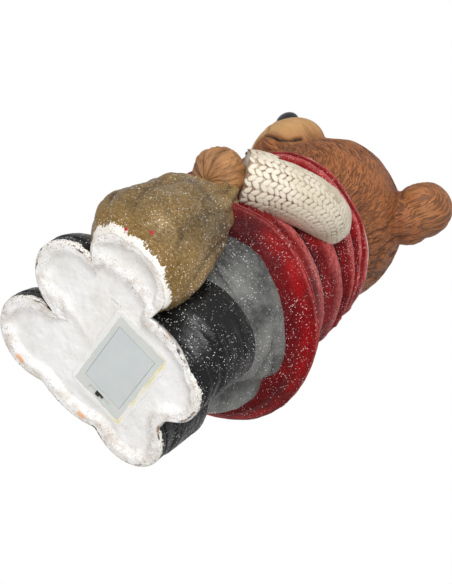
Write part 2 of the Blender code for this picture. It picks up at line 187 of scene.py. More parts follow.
def insideOut(points, faces):
    # Whether a closed mesh of quads and triangles faces inwards.
    halves = [face[:3] for face in faces] + [(face[0], *face[2:]) for face in faces if len(face) == 4]
    a, b, c = points[np.array(halves).T]
    return np.einsum("ij,ij->i", a, np.cross(b, c)).sum() < 0


def skin(name, rows, finish, layers=None, closed=False):
    # A closed piece from rows of places; closed rows meet again, as on a ring, and others end in fans.
    rows = np.asarray(rows)
    count, around = rows.shape[:2]
    index = np.arange(count * around).reshape(count, around)
    upper = np.roll(index, -1, 0) if closed else index[1:]
    lower = index if closed else index[:-1]
    quads = np.stack([lower, np.roll(lower, -1, 1), np.roll(upper, -1, 1), upper], -1).reshape(-1, 4).tolist()
    faces = [tuple(face) for face in quads]
    flat = {"places": rows, **(layers or {})}
    for key, value in flat.items():
        value = np.asarray(value)
        value = value.reshape(count * around, *value.shape[2:])
        if not closed:
            value = np.concatenate([value, [value[:around].mean(0)], [value[-around:].mean(0)]])
        flat[key] = value
    if not closed:
        bottom, top = count * around, count * around + 1
        faces += [(bottom, (k + 1) % around, k) for k in range(around)]
        last = (count - 1) * around
        faces += [(top, last + k, last + (k + 1) % around) for k in range(around)]
    points = flat.pop("places") * unit + shift
    if insideOut(points, faces):
        faces = [face[::-1] for face in faces]
    return meshFrom(name, points, faces, finish, flat)


def turns(around):
    return np.linspace(-math.pi, math.pi, around, endpoint=False)


def gridOf(around, rises):
    rise, turn = np.meshgrid(np.asarray(rises, float), turns(around), indexing="ij")
    return turn, rise


def placesOf(piece):
    places = np.zeros(len(piece.data.vertices) * 3, np.float32)
    piece.data.vertices.foreach_get("co", places)
    return places.reshape(-1, 3).astype(float)


def normalsOf(piece):
    normals = np.zeros(len(piece.data.vertices) * 3, np.float32)
    piece.data.vertex_normals.foreach_get("vector", normals)
    return normals.reshape(-1, 3).astype(float)


def applied(piece):
    # The piece with its modifiers made real.
    bpy.context.view_layer.update()
    mesh = bpy.data.meshes.new_from_object(piece.evaluated_get(bpy.context.evaluated_depsgraph_get()))
    piece.modifiers.clear()
    old, piece.data = piece.data, mesh
    bpy.data.meshes.remove(old)
    mesh.name = piece.name
    return piece


def wear(piece):
    # Every dressed piece belongs to the cast figure.
    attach(piece, "bear")
    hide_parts("bear_figure")
    return piece


# Finishes.


def addNode(tree, kind, inputs=None, **settings):
    # A node with its settings, its fixed values and what flows into it.
    made = tree.nodes.new(kind)
    for key, value in settings.items():
        setattr(made, key, value)
    for key, value in (inputs or {}).items():
        if isinstance(value, bpy.types.NodeSocket):
            tree.links.new(value, made.inputs[key])
        else:
            made.inputs[key].default_value = value
    return made


def srgb(red, green, blue):
    # A colour as picked in a paint program, from 0 to 255.
    shares = (red / 255, green / 255, blue / 255)
    return tuple(c / 12.92 if c < 0.04 else ((c + 0.055) / 1.055) ** 2.4 for c in shares)


class Finish:
    # A material that is put together from short calls. Its tints are colours from 0 to 255, used by name.
    def __init__(self, name, tints, roughness, **settings):
        self.material = bpy.data.materials.new(name)
        self.material.use_nodes = True
        self.tree = self.material.node_tree
        self.tints = {key: (*srgb(*value), 1.0) for key, value in tints.items()}
        self.shader = self.tree.nodes["Principled BSDF"]
        self.shader.inputs["Roughness"].default_value = roughness
        for key, value in settings.items():
            self.shader.inputs[key].default_value = value
        self.object = self.node("ShaderNodeTexCoord").outputs["Object"]

    def node(self, kind, inputs=None, **settings):
        return addNode(self.tree, kind, inputs, **settings)

    def layer(self, name):
        return self.node("ShaderNodeAttribute", attribute_name=name).outputs["Fac"]

    def flow(self, scale):
        # The way the strokes run, as written on the mesh, stretched to the pattern's cells.
        way = self.node("ShaderNodeAttribute", attribute_name="flow").outputs["Vector"]
        return self.stretched(way, scale)

    def stretched(self, way, scale):
        return self.node("ShaderNodeMapping", {"Vector": way, "Scale": scale}).outputs[0]

    def noise(self, scale, detail, way=None, rough=0.5, distortion=0.0):
        inputs = {"Vector": way or self.object, "Scale": scale, "Detail": detail}
        inputs.update({"Roughness": rough, "Distortion": distortion})
        return self.node("ShaderNodeTexNoise", inputs).outputs["Fac"]

    def math(self, operation, a, b, clamp=False):
        return self.node("ShaderNodeMath", {0: a, 1: b}, operation=operation, use_clamp=clamp).outputs[0]

    def times(self, a, b, clamp=False):
        return self.math("MULTIPLY", a, b, clamp)

    def between(self, value, low, high):
        # 0 at low, 1 at high.
        inputs = {"Value": value, "From Min": low, "From Max": high}
        return self.node("ShaderNodeMapRange", inputs, interpolation_type="SMOOTHSTEP").outputs[0]

    def cloudy(self, scale, detail, low, high, rough=0.5):
        # Patches of noise: 0 where it is below low, 1 above high.
        return self.between(self.noise(scale, detail, rough=rough), low, high)

    def specks(self, scale, far, close, fewest, most):
        # Round specks in some of a pattern's cells, chosen by the cells' own random colour.
        cells = self.node("ShaderNodeTexVoronoi", {"Vector": self.object, "Scale": scale}).outputs
        chance = self.node("ShaderNodeSeparateColor", {0: cells["Color"]}).outputs[0]
        return self.times(self.between(cells["Distance"], far, close), self.between(chance, fewest, most))

    def over(self, under, tint, share, strength=None):
        # A coat of one colour over another: each is a tint's name or what an earlier call made.
        if strength is not None:
            share = self.times(share, strength)
        lower, upper = (self.tints[value] if isinstance(value, str) else value for value in (under, tint))
        inputs = {0: share, 6: lower, 7: upper}
        return self.node("ShaderNodeMix", inputs, data_type="RGBA").outputs[2]

    def frosted(self, under):
        # A haze of glitter too fine to model.
        specks = self.specks(760.0, 0.42, 0.24, 0.78, 0.90)
        return self.over(under, "glitter", self.times(specks, self.cloudy(28.0, 4.0, 0.36, 0.62), True))

    def worn(self, layer, scale, low, high, strength, way=None):
        # Where the paint has come off: a mesh layer broken up by noise.
        broken = self.times(self.noise(scale, 5.0, way, 0.6), strength)
        return self.between(self.math("ADD", self.layer(layer), broken), low, high)

    def painted(self, colour, grain, depth, strength):
        # The finished material: its colour, and its grain as a bump of some depth in metres.
        raised = self.node("ShaderNodeBump", {"Height": grain, "Distance": depth, "Strength": strength})
        self.tree.links.new(colour, self.shader.inputs["Base Color"])
        self.tree.links.new(raised.outputs[0], self.shader.inputs["Normal"])
        return self.material


bootTints = {
    "black": (7, 7, 7),
    "dusty": (20, 20, 19),
    "rubbed": (48, 47, 45),
    "streak": (120, 118, 114),
    "glitter": (231.11, 231.11, 233.65),
    "plaster": (229, 226, 220),
    "grime": (126, 106, 88),
}


def bootPaint():
    f = Finish("boot black", bootTints, 0.42, **{"Specular IOR Level": 0.32})
    black = f.over("black", "dusty", f.cloudy(22.0, 5.0, 0.38, 0.68))
    black = f.over(black, "rubbed", f.between(f.layer("frost"), 0.15, 1.0))
    streaks = f.between(f.noise(1.0, 4.0, f.flow((40.0, 330.0, 40.0)), 0.6, 1.0), 0.60, 0.74)
    black = f.frosted(f.over(black, "streak", streaks, 0.35))
    plaster = f.over("plaster", "grime", f.cloudy(560.0, 4.0, 0.52, 0.62, 0.7))
    black = f.over(black, plaster, f.worn("bare", 1.0, 1.14, 1.20, 1.4, f.flow((600.0, 240.0, 1.0))))
    f.tree.links.new(f.cloudy(60.0, 4.0, -0.3, 1.7), f.shader.inputs["Roughness"])
    return f.painted(black, f.noise(340.0, 5.0), 0.0007, 0.6)


trouserTints = {
    "dark": (56, 58, 57),
    "light": (164, 164, 159),
    "rubbed": (146, 145, 140),
    "shade": (30, 29, 28),
    "dust": (138, 137, 133),
    "glitter": (231.11, 231.11, 233.65),
}


def trouserPaint():
    f = Finish("trouser grey", trouserTints, 0.45, **{"Specular IOR Level": 0.4})
    grey = f.over("dark", "light", f.cloudy(10.0, 6.0, 0.34, 0.66, 0.6))
    grey = f.over(grey, "rubbed", f.layer("frost"))
    grey = f.over(grey, "shade", f.layer("shade"))
    grey = f.over(grey, "dust", f.cloudy(230.0, 5.0, 0.40, 0.64, 0.7), 0.25)
    return f.painted(f.frosted(grey), f.noise(300.0, 5.0), 0.0007, 0.5)


vestTints = {
    "deep": (84, 1, 7),
    "red": (132, 4, 10),
    "bright": (158, 0, 4),
    "rubbed": (222, 112, 108),
    "shade": (44, 4, 8),
    "dust": (210, 130, 124),
    "glitter": (240, 214, 210),
    "rim": (214, 200, 198),
}


def vestPaint():
    f = Finish("vest red", vestTints, 0.60, **{"Specular IOR Level": 0.12})
    red = f.over("deep", "red", f.cloudy(20.0, 5.0, 0.32, 0.68))
    # the brighter red band along the middle of the hem roll is painted highlight
    red = f.over(red, "bright", f.layer("glow"), f.cloudy(45.0, 5.0, 0.30, 0.62))
    red = f.over(red, "rubbed", f.layer("frost"), f.times(f.cloudy(190.0, 6.0, 0.25, 0.66, 0.7), 0.85))
    red = f.over(red, "shade", f.layer("shade"))
    red = f.frosted(f.over(red, "dust", f.cloudy(520.0, 5.0, 0.54, 0.72, 0.7), 0.28))
    red = f.over(red, "rim", f.worn("rim", 180.0, 0.78, 0.98, 0.55))
    return f.painted(red, f.noise(420.0, 4.0), 0.0006, 0.45)


sackTints = {
    "dark": (58, 42, 15),
    "gold": (130, 102, 56),
    "bright": (116, 84, 16),
    "pale": (158, 130, 84),
    "shade": (38, 28, 12),
    "smear": (140, 118, 80),
    "dust": (176, 148, 98),
    "pits": (46, 32, 8),
    "glitter": (244, 240, 224),
    "red": (168, 22, 40),
    "plaster": (230, 226, 218),
    "grime": (140, 112, 80),
}


def sackPaint():
    f = Finish("sack gold", sackTints, 0.38, **{"Metallic": 0.15, "Specular IOR Level": 0.5})
    gold = f.over("dark", "gold", f.cloudy(14.0, 6.0, 0.34, 0.66, 0.6))
    gold = f.over(gold, "bright", f.layer("glow"), 0.8)
    # painted highlight: the upper part of the sack is paler
    height = f.node("ShaderNodeSeparateXYZ", {0: f.object}).outputs["Z"]
    gold = f.over(gold, "pale", f.between(height, 0.10, 0.15), 0.5)
    gold = f.over(gold, "shade", f.layer("shade"))
    smear = f.between(f.noise(1.0, 4.0, f.flow((150.0, 38.0, 1.0)), 0.6, 0.8), 0.48, 0.76)
    gold = f.over(gold, "smear", smear, 0.40)
    gold = f.over(gold, "dust", f.cloudy(420.0, 5.0, 0.45, 0.66, 0.7), 0.42)
    gold = f.over(gold, "pits", f.cloudy(300.0, 4.0, 0.46, 0.34, 0.7), 0.5)
    gold = f.over(f.frosted(gold), "red", f.between(f.layer("red"), 0.3, 0.6))
    plaster = f.over("plaster", "grime", f.cloudy(560.0, 4.0, 0.56, 0.66, 0.7))
    gold = f.over(gold, plaster, f.worn("bare", 1.0, 1.12, 1.18, 1.4, f.flow((560.0, 150.0, 1.0))))
    return f.painted(gold, f.noise(260.0, 5.0), 0.0008, 0.6)


furTints = {
    "dark": (145, 81, 40),
    "brown": (174, 106, 56),
    "tan": (212, 164, 106),
    "thin": (98, 54, 26),
    "tips": (200, 140, 88),
    "cuts": (84, 45, 22),
    "shade": (58, 32, 17),
    "mouth": (22, 13, 9),
}


def furPaint():
    f = Finish("brown fur", furTints, 0.55)
    strand = f.noise(1.0, 1.0, f.flow((680.0, 150.0, 220.0)), 0.5, 0.25)
    fine = f.noise(1.0, 3.0, f.flow((900.0, 150.0, 400.0)), 0.6, 0.3)
    # the muzzle, paws and ears are smoother than the rest
    rough = f.math("MAXIMUM", f.between(f.layer("tan"), 0.70, 0.0), 0.2)
    cuts = f.times(f.between(strand, 0.49, 0.42), f.times(rough, f.cloudy(24.0, 2.0, 0.22, 0.52)))
    thin = f.times(f.between(fine, 0.50, 0.34), rough)
    brown = f.over("dark", "brown", f.cloudy(14.0, 4.0, 0.3, 0.7))
    brown = f.over(brown, "tan", f.layer("tan"))
    brown = f.over(brown, "thin", thin, 0.55)
    brown = f.over(brown, "tips", f.between(fine, 0.58, 0.76), 0.4)
    brown = f.over(brown, "cuts", cuts, 0.66)
    brown = f.over(brown, "shade", f.layer("shade"))
    brown = f.over(brown, "mouth", f.layer("line"))
    return f.painted(brown, f.math("SUBTRACT", fine, f.times(cuts, 1.2)), 0.0018, 0.7)


knitTints = {"cream": (210, 200, 177), "pale": (227, 219, 200), "wash": (122, 76, 46)}


def knitPaint():
    f = Finish("cream knitting", knitTints, 0.55)
    cream = f.over("cream", "pale", f.cloudy(30.0, 4.0, 0.3, 0.7))
    cream = f.over(cream, "wash", f.times(f.layer("wash"), f.cloudy(90.0, 4.0, 0.20, 0.62), True))
    return f.painted(cream, f.noise(500.0, 4.0), 0.0004, 0.4)


plasterTints = {
    "white": (236, 235, 234),
    "dull": (228, 226, 223),
    "grime": (194, 180, 166),
    "smudge": (160, 138, 118),
    "crumbs": (132, 110, 90),
    "specks": (120, 104, 92),
    "blackChips": (40, 38, 36),
    "brownChips": (138, 108, 82),
    "orange": (226, 160, 104),
    "yellow": (222, 206, 112),
    "crack": (96, 88, 80),
}


def plasterPaint():
    f = Finish("white plaster", plasterTints, 0.75)
    grimy = f.layer("grime")
    white = f.over("white", "dull", f.cloudy(26.0, 5.0, 0.35, 0.70))
    white = f.over(white, "grime", f.times(grimy, f.cloudy(75.0, 6.0, 0.40, 0.70, 0.65)), 0.8)
    white = f.over(white, "smudge", f.times(grimy, f.cloudy(240.0, 5.0, 0.60, 0.74, 0.7)), 0.8)
    crumbs = f.times(f.cloudy(620.0, 4.0, 0.57, 0.65, 0.7), f.between(grimy, 0.35, 0.85))
    white = f.over(white, "crumbs", crumbs, 0.8)
    white = f.over(white, "specks", f.specks(420.0, 0.35, 0.2, 0.955, 0.97), grimy)
    chipTone = f.over("blackChips", "brownChips", f.cloudy(90.0, 3.0, 0.42, 0.58))
    white = f.over(white, chipTone, f.worn("edge", 380.0, 1.34, 1.46, 1.2), f.cloudy(48.0, 3.0, 0.42, 0.60))
    stained = f.between(f.math("ADD", f.layer("orange"), f.noise(260.0, 4.0)), 0.95, 1.35)
    white = f.over(white, "orange", stained, 0.8)
    white = f.over(white, "yellow", f.layer("yellow"), 0.9)
    white = f.over(white, "crack", f.between(f.layer("crack"), 0.35, 0.8))
    return f.painted(white, f.noise(160.0, 6.0, rough=0.6), 0.0011, 0.6)


glossTints = {"black": (10, 9, 9), "worn": (27.86, 27.63, 27.63)}


def glossPaint():
    f = Finish("eye black", glossTints, 0.22, **{"Coat Weight": 0.6, "Coat Roughness": 0.08})
    black = f.over("black", "worn", f.cloudy(120.0, 3.0, 0.35, 0.7))
    return f.painted(black, f.noise(300.0, 3.0), 0.0003, 0.3)


def mouldedPaint(name, tints, roughness):
    f = Finish(name, tints, roughness, **{"Subsurface Weight": 0.15, "Subsurface Scale": 0.004, "IOR": 1.49})
    colour = f.over("plain", "cloud", f.cloudy(40.0, 4.0, 0.3, 0.7))
    lengthwise = f.stretched(f.object, (900.0, 60.0, 300.0))
    colour = f.over(colour, "scuff", f.between(f.noise(1.0, 4.0, lengthwise), 0.66, 0.8), 0.35)
    return f.painted(colour, f.noise(700.0, 3.0), 0.0001, 0.3)


glitterTints = {"silver": (225, 225, 228), "white": (250, 250, 250)}


def glowingFleckPaint():
    # the flakes give off a little light of their own: painted glint
    f = Finish("glitter", glitterTints, 0.2, **{"Specular IOR Level": 0.9, "Emission Strength": 0.25})
    f.shader.inputs["Emission Color"].default_value = (1.0, 1.0, 1.0, 1.0)
    f.tree.links.new(f.over("silver", "white", f.cloudy(700.0, 1.0, 0.3, 0.7)), f.shader.inputs["Base Color"])
    return f.material


paints = {
    "boot": bootPaint(),
    "trousers": trouserPaint(),
    "vest": vestPaint(),
    "sack": sackPaint(),
    "fur": furPaint(),
    "knit": knitPaint(),
    "plaster": plasterPaint(),
    "gloss": glossPaint(),
    "fleck": glowingFleckPaint(),
}
print("Finishes mixed")

# Two boots and the sack, whose bottoms share one footprint with the underside.

boots = {
    "top": 93.0,
    "start": (40.0, 12.0),
    "soleLine": 11.0,
    "ankleLine": 34.0,
    "around": 230,
    "rows": 92,
    "innerTop": 36.0,
    "edgeRound": 3.0,
    # how sharply its ellipses meet, and how high the bare plaster reaches
    "blend": 14.0,
    "bareHeight": 5.8,
    # height and direction of each wrinkle round the leg
    "wrinkles": ((30, 1.9), (38, 2.4), (62, 2.1), (70, 2.7), (26, 2.9), (44, 1.5)),
}
sack = {
    # height, centre across, centre along, half width, half depth
    "sections": (
        (0, 95, -25.5, 31, 43.5),
        (22, 98, -32, 36, 55),
        (48, 103, -36, 39, 58),
        (85, 107, -39, 35, 48),
        (105, 110, -41, 31, 42),
        (122, 110, -41, 27, 34),
        (142, 107, -40, 22, 26),
        (158, 105, -41, 17, 18),
        (172, 103, -45, 20, 19),
    ),
    "folds": 9,
    "gather": 0.075,
    "drape": 0.06,
    "edgeRound": 2.6,
    "bareHeight": 9.0,
    "around": 230,
    "rows": 150,
    # height, slant, direction, width, depth
    "sags": (
        (60, 9, 1.2, 0.7, 0.020),
        (84, -12, 2.0, 0.8, 0.022),
        (112, 6, 1.4, 0.8, 0.03),
        (130, -8, 2.4, 0.7, 0.03),
        (38, 6, 0.2, 0.9, 0.015),
    ),
    # the red specks: centre, and how far each reaches up
    "specks": ((122.9, -52.0, 5.5, 4.0), (132.4, -35.0, 18.0, 2.2)),
    "speckWidth": 2.6,
}


def bootEllipses(height):
    height = np.maximum(height, 0.0)
    toe = np.clip(1 - (height / 63.0) ** 2.6, 0.0, 1.0) ** (1 / 2.6)
    swell = 1 + 0.05 * np.sin(np.pi * np.clip(height / 34.0, 0, 1))
    instep = np.clip(1 - (height / 84.0) ** 2.2, 0.0, 1.0) ** (1 / 2.2)
    shaft = ease(0.0, 40.0, height)
    return (
        ((39.0, -61.0 + 10 * (1 - toe)), (39.0 * toe * swell + 0.1, 44.0 * toe * swell + 0.1)),
        ((34.0, -8.0), (40.5 * instep + 0.1, 62.0 * instep + 0.1)),
        ((35.0 + 9.0 * shaft, 59.0 - 17.0 * shaft), (34.0 + 13.5 * shaft, 40.0 + 15.0 * shaft)),
    )


underside = {
    "start": (8.0, 0.0),
    "rim": 7.5,
    "depth": 4.6,
    "slope": 9.0,
    "edgeRound": 1.6,
    "stand": 0.2,
    "inset": 1.2,
    "top": 12.0,
    "around": 600,
    "across": 88,
    "boxGap": 0.35,
    "blend": 24.0,
    # what lies below this height is lifted clear of the plaster
    "liftBelow": 14.0,
    # the plaster under the battery box
    "middle": ((0.0, -2.0), (50.0, 62.0)),
    # the plaster between the heels, and between the sack and the left heel
    "webs": (((0.0, 42.0), (38.0, 41.0)), ((62.0, 30.0), (17.5, 40.0))),
    # how far its hidden upper edge leans in from the rim
    "lean": 6.0,
    # centre across, centre along, width, length, strength
    "orangeStains": (
        (-71, -63, 4.2, 7.5, 1.0),
        (-63.5, 17, 4.0, 8.0, 1.0),
        (60, -106, 3, 6, 0.3),
        (112, -69, 3, 3, 0.5),
    ),
    "crack": ((58.0, -27.0), (60.0, -14.0)),
    "crackWidth": 0.45,
}


def footprint(turn, inset):
    ellipses = []
    for side in (1, -1):
        for centre, radii in bootEllipses(np.zeros(1)):
            ellipses.append(((side * centre[0], centre[1]), (radii[0] - inset, radii[1] - inset)))
    row = sack["sections"][0]
    ellipses.append(((row[1], row[2]), (row[3] - inset, row[4] - inset)))
    ellipses.append(underside["middle"])
    for centre, radii in underside["webs"]:
        ellipses.append((centre, (radii[0] - inset, radii[1] - inset)))
    reaches = [reach(turn, underside["start"], centre, radii) for centre, radii in ellipses]
    return furthest(reaches, underside["blend"])


def liftedInside(x, y, z):
    # Whatever lies well inside the footprint is kept above the white underside.
    x0, y0 = underside["start"]
    turn = np.arctan2(x - x0, -(y - y0))
    share = np.hypot(x - x0, y - y0) / footprint(turn, 0.0)
    return np.maximum(z, underside["top"] * (1 - ease(0.93, 0.975, share)))


# The underside: a white plaster dish round the battery box.

ridges = (
    # path, height, width
    (((2.0, -90.0), (9.0, -72.0), (13.0, -60.0)), 4.4, 9.5),
    (((89.0, -76.0), (84.0, -62.0), (85.0, -42.0), (90.0, -22.0), (86.0, 0.0)), 3.0, 7.5),
    (((3.0, 92.0), (1.0, 76.0)), 4.0, 9.0),
    (((13.0, -58.0), (14.0, -42.0), (8.0, -28.0)), 0.8, 4.0),
    (((84.0, -62.0), (60.0, -78.0), (42.0, -82.0)), 1.0, 6.0),
)
hollows = (
    # centre, radii, depth
    ((50.0, -70.0), (20.0, 17.0), -1.2),
    ((40.0, -84.0), (13.0, 8.0), 1.6),
    ((-30.0, -66.0), (22.0, 26.0), -0.9),
    ((-46.0, -84.0), (14.0, 12.0), 1.5),
    ((112.0, -34.0), (16.0, 22.0), 1.6),
    ((50.0, 72.0), (22.0, 14.0), 1.4),
    ((-38.0, 78.0), (22.0, 15.0), 1.4),
    ((-55.0, 10.0), (10.0, 40.0), 0.6),
)


def undersideHeight(x, y, inset):
    # Up from the standing plane: a raised rim, a slope and a lumpy floor.
    place = np.stack([x, y], -1)
    floor = np.full(x.shape, underside["depth"])
    for (cx, cy), (rx, ry), depth in hollows:
        floor = floor + depth * np.exp(-(((x - cx) / rx) ** 2) - ((y - cy) / ry) ** 2)
    for path, height, width in ridges:
        floor = floor - height * np.exp(-((distanceTo(x, y, path) / width) ** 2))
    floor = np.clip(floor + 0.35 * lumps(place, 11.0, 5) + 0.15 * lumps(place, 4.0, 6), 0.4, 7.4)
    wall = ease(underside["rim"] - 1.0, underside["rim"] + underside["slope"], inset + waver(x, y))
    rough = 0.10 * lumps(place, 2.6, 7) + 0.14 * lumps(place, 6.0, 8)
    rough = rough * (1 + 1.6 * (1 - wall))
    edge = np.maximum(underside["edgeRound"] - inset, 0.0)
    rounded = underside["edgeRound"] - np.sqrt(np.maximum(underside["edgeRound"] ** 2 - edge**2, 0.0))
    return np.maximum(floor * wall + rough + underside["stand"] + rounded, 0.0)


def waver(x, y):
    # How far the rim strays from an even width.
    place = np.stack([x, y], -1)
    return 1.6 * lumps(place, 22.0, 3) + 0.7 * lumps(place, 8.0, 4)


def buildUnderside():
    turn = turns(underside["around"])
    x0, y0 = underside["start"]
    gap = underside["boxGap"]
    low = (np.array(boxLow[:2]) - shift[:2]) / unit - gap - (x0, y0)
    high = (np.array(boxHigh[:2]) - shift[:2]) / unit + gap - (x0, y0)
    across, along = np.sin(turn), -np.cos(turn)
    inner = np.minimum(
        np.where(across > 0, high[0], -low[0]) / np.maximum(np.abs(across), 1e-6),
        np.where(along > 0, high[1], -low[1]) / np.maximum(np.abs(along), 1e-6),
    )
    outer = footprint(turn, underside["inset"])
    shares = np.linspace(0, 1, underside["across"]) ** 0.85
    radius = inner + (outer - inner) * shares[:, None]
    x, y = x0 + radius * across, y0 + radius * along
    # how far in from the outline each place lies, measured to a few neighbours and evened out
    inset = np.hypot(x[-1] - x, y[-1] - y)
    for step in (-14, -8, -4, 4, 8, 14):
        inset = np.minimum(inset, np.hypot(np.roll(x[-1], step) - x, np.roll(y[-1], step) - y))
    for _ in range(6):
        inset = (np.roll(inset, 1, 1) + 2 * inset + np.roll(inset, -1, 1)) / 4
    # level with the battery box beside it
    z = undersideHeight(x, y, inset)
    boxFace = boxLow.z / unit + underside["stand"]
    z = z + (boxFace - z) * (1 - ease(2.0, 12.0, radius - inner)) * 0.95
    place = np.stack([x, y], -1)
    nearRim = 1 - ease(8.0, 20.0, inset)
    creases = sum(np.exp(-((distanceTo(x, y, path) / 9.0) ** 2)) for path, _, _ in ridges[:3])
    grime = np.clip(0.22 + 0.55 * nearRim + 0.75 * creases + 0.25 * lumps(place, 30.0, 9), 0, 1)
    edge = np.clip(1 - (inset + 2.2 * lumps(place, 9.0, 10)) / 5.0, 0, 1)
    orange = sum(
        strength * np.exp(-(((x - cx) / rx) ** 2) - ((y - cy) / ry) ** 2)
        for cx, cy, rx, ry, strength in underside["orangeStains"]
    )
    # closed above by a hidden upper face, so that it has a thickness
    upper = np.full_like(z[:1], underside["top"])
    wholeZ = np.concatenate([z, upper, upper])
    upperRim = outer - underside["lean"]
    wholeX = np.concatenate([x, [x0 + upperRim * across], x[:1]])
    wholeY = np.concatenate([y, [y0 + upperRim * along], y[:1]])
    rows = np.stack([wholeX, wholeY, wholeZ], -1)
    fromCrack = distanceTo(x + 1.2 * lumps(place, 6.0, 17), y, underside["crack"])
    crack = np.exp(-((fromCrack / underside["crackWidth"]) ** 2))
    # no chips of black paint along the sack's part of the rim
    row = sack["sections"][0]
    edge = edge * ease(1.06, 1.25, np.hypot((x - row[1]) / row[3], (y - row[2]) / row[4]))
    grime = np.maximum(grime, 1 - ease(4.0, 11.0, inset + waver(x, y)))
    layers = {"grime": grime, "orange": orange, "edge": edge, "yellow": 0 * edge, "crack": crack}
    layers = {key: np.concatenate([value, value[-1:], value[:1]]) for key, value in layers.items()}
    return wear(skin("underside", rows, paints["plaster"], layers, closed=True))


glue = {
    "around": 640,
    "section": 14,
    "corner": 3.0,
    "width": 3.2,
    "height": 0.12,
    "sink": 0.30,
    "outward": 0.4,
}


def buildGlue():
    # A soft bead of plaster and glue that closes the gap round the battery box.
    low = (np.array(boxLow[:2]) - shift[:2]) / unit
    high = (np.array(boxHigh[:2]) - shift[:2]) / unit
    centre, half = (low + high) / 2, (high - low) / 2 - glue["corner"]
    runs = np.array([2 * half[0], 2 * half[1], 2 * half[0], 2 * half[1]])
    quarter = glue["corner"] * math.pi / 2
    along = np.linspace(0, runs.sum() + 4 * quarter, glue["around"], endpoint=False)
    spots, outs = np.zeros((len(along), 2)), np.zeros((len(along), 2))
    # a straight run and a quarter turn at a time
    start = 0.0
    corners = ((1, -1), (1, 1), (-1, 1), (-1, -1))
    for k, ((cx, cy), run) in enumerate(zip(((-1, -1),) + corners[:3], runs)):
        facing = -math.pi / 2 + k * math.pi / 2
        out = np.array([math.cos(facing), math.sin(facing)])
        way = np.array([-out[1], out[0]])
        part = (along >= start) & (along < start + run)
        spots[part] = centre + half * (cx, cy) + way * (along[part] - start)[:, None]
        outs[part] = out
        start += run
        part = (along >= start) & (along < start + quarter)
        angle = facing + (along[part] - start) / glue["corner"]
        spots[part] = centre + half * corners[k]
        outs[part] = np.stack([np.cos(angle), np.sin(angle)], -1)
        start += quarter
    path = spots + outs * (glue["corner"] + glue["outward"])
    wide = glue["width"] * (1 + 0.35 * lumps(path, 9.0, 81) + 0.2 * lumps(path, 3.5, 82))
    thick = glue["height"] * (1 + 0.35 * lumps(path, 12.0, 83))
    angle = np.linspace(0, 2 * math.pi, glue["section"], endpoint=False)
    spread = wide[:, None] * np.cos(angle)
    x = path[:, :1] + outs[:, :1] * spread
    y = path[:, 1:] + outs[:, 1:] * spread
    level = boxLow.z / unit + glue["sink"]
    z = level + (thick[:, None] + glue["sink"]) * np.sin(angle)
    far = ease(10.0, 22.0, (path[:, 1] - centre[1])) * ease(-46.0, 10.0, path[:, 0] - centre[0])
    stain = np.clip(far * (0.55 + 0.6 * lumps(path, 11.0, 84)), 0, 0.85)
    stain = stain + 0.6 * np.exp(-(np.hypot(path[:, 0] - low[0], path[:, 1] - high[1]) / 9.0) ** 2)
    shape = np.ones_like(x)
    layers = {
        "grime": 0.15 * shape,
        "orange": 0 * shape,
        "edge": 0 * shape,
        "crack": 0 * shape,
        "yellow": np.clip(1.5 * stain, 0, 1)[:, None] * np.exp(-(((np.cos(angle) + 0.25) / 0.42) ** 2)),
    }
    return wear(skin("glueBead", np.stack([x, y, z], -1), paints["plaster"], layers, closed=True))


buildUnderside()
buildGlue()
print("Underside cast")

# Boots, seen from their top edge down and under their round edge.


def bootRows():
    # Heights from the top edge down the outside, under the round edge and up inside.
    outside = np.linspace(boots["top"], boots["edgeRound"], boots["rows"])
    angle = np.linspace(0, math.pi / 2, 7)[1:]
    under = 0.4 + boots["edgeRound"] * (1 - np.sin(angle))
    heights = np.concatenate([outside, under, [1.2, 8.0, boots["innerTop"]]])
    insets = np.concatenate([0 * outside, boots["edgeRound"] * (1 - np.cos(angle)), [4.2, 5.5, 7.0]])
    return heights, insets


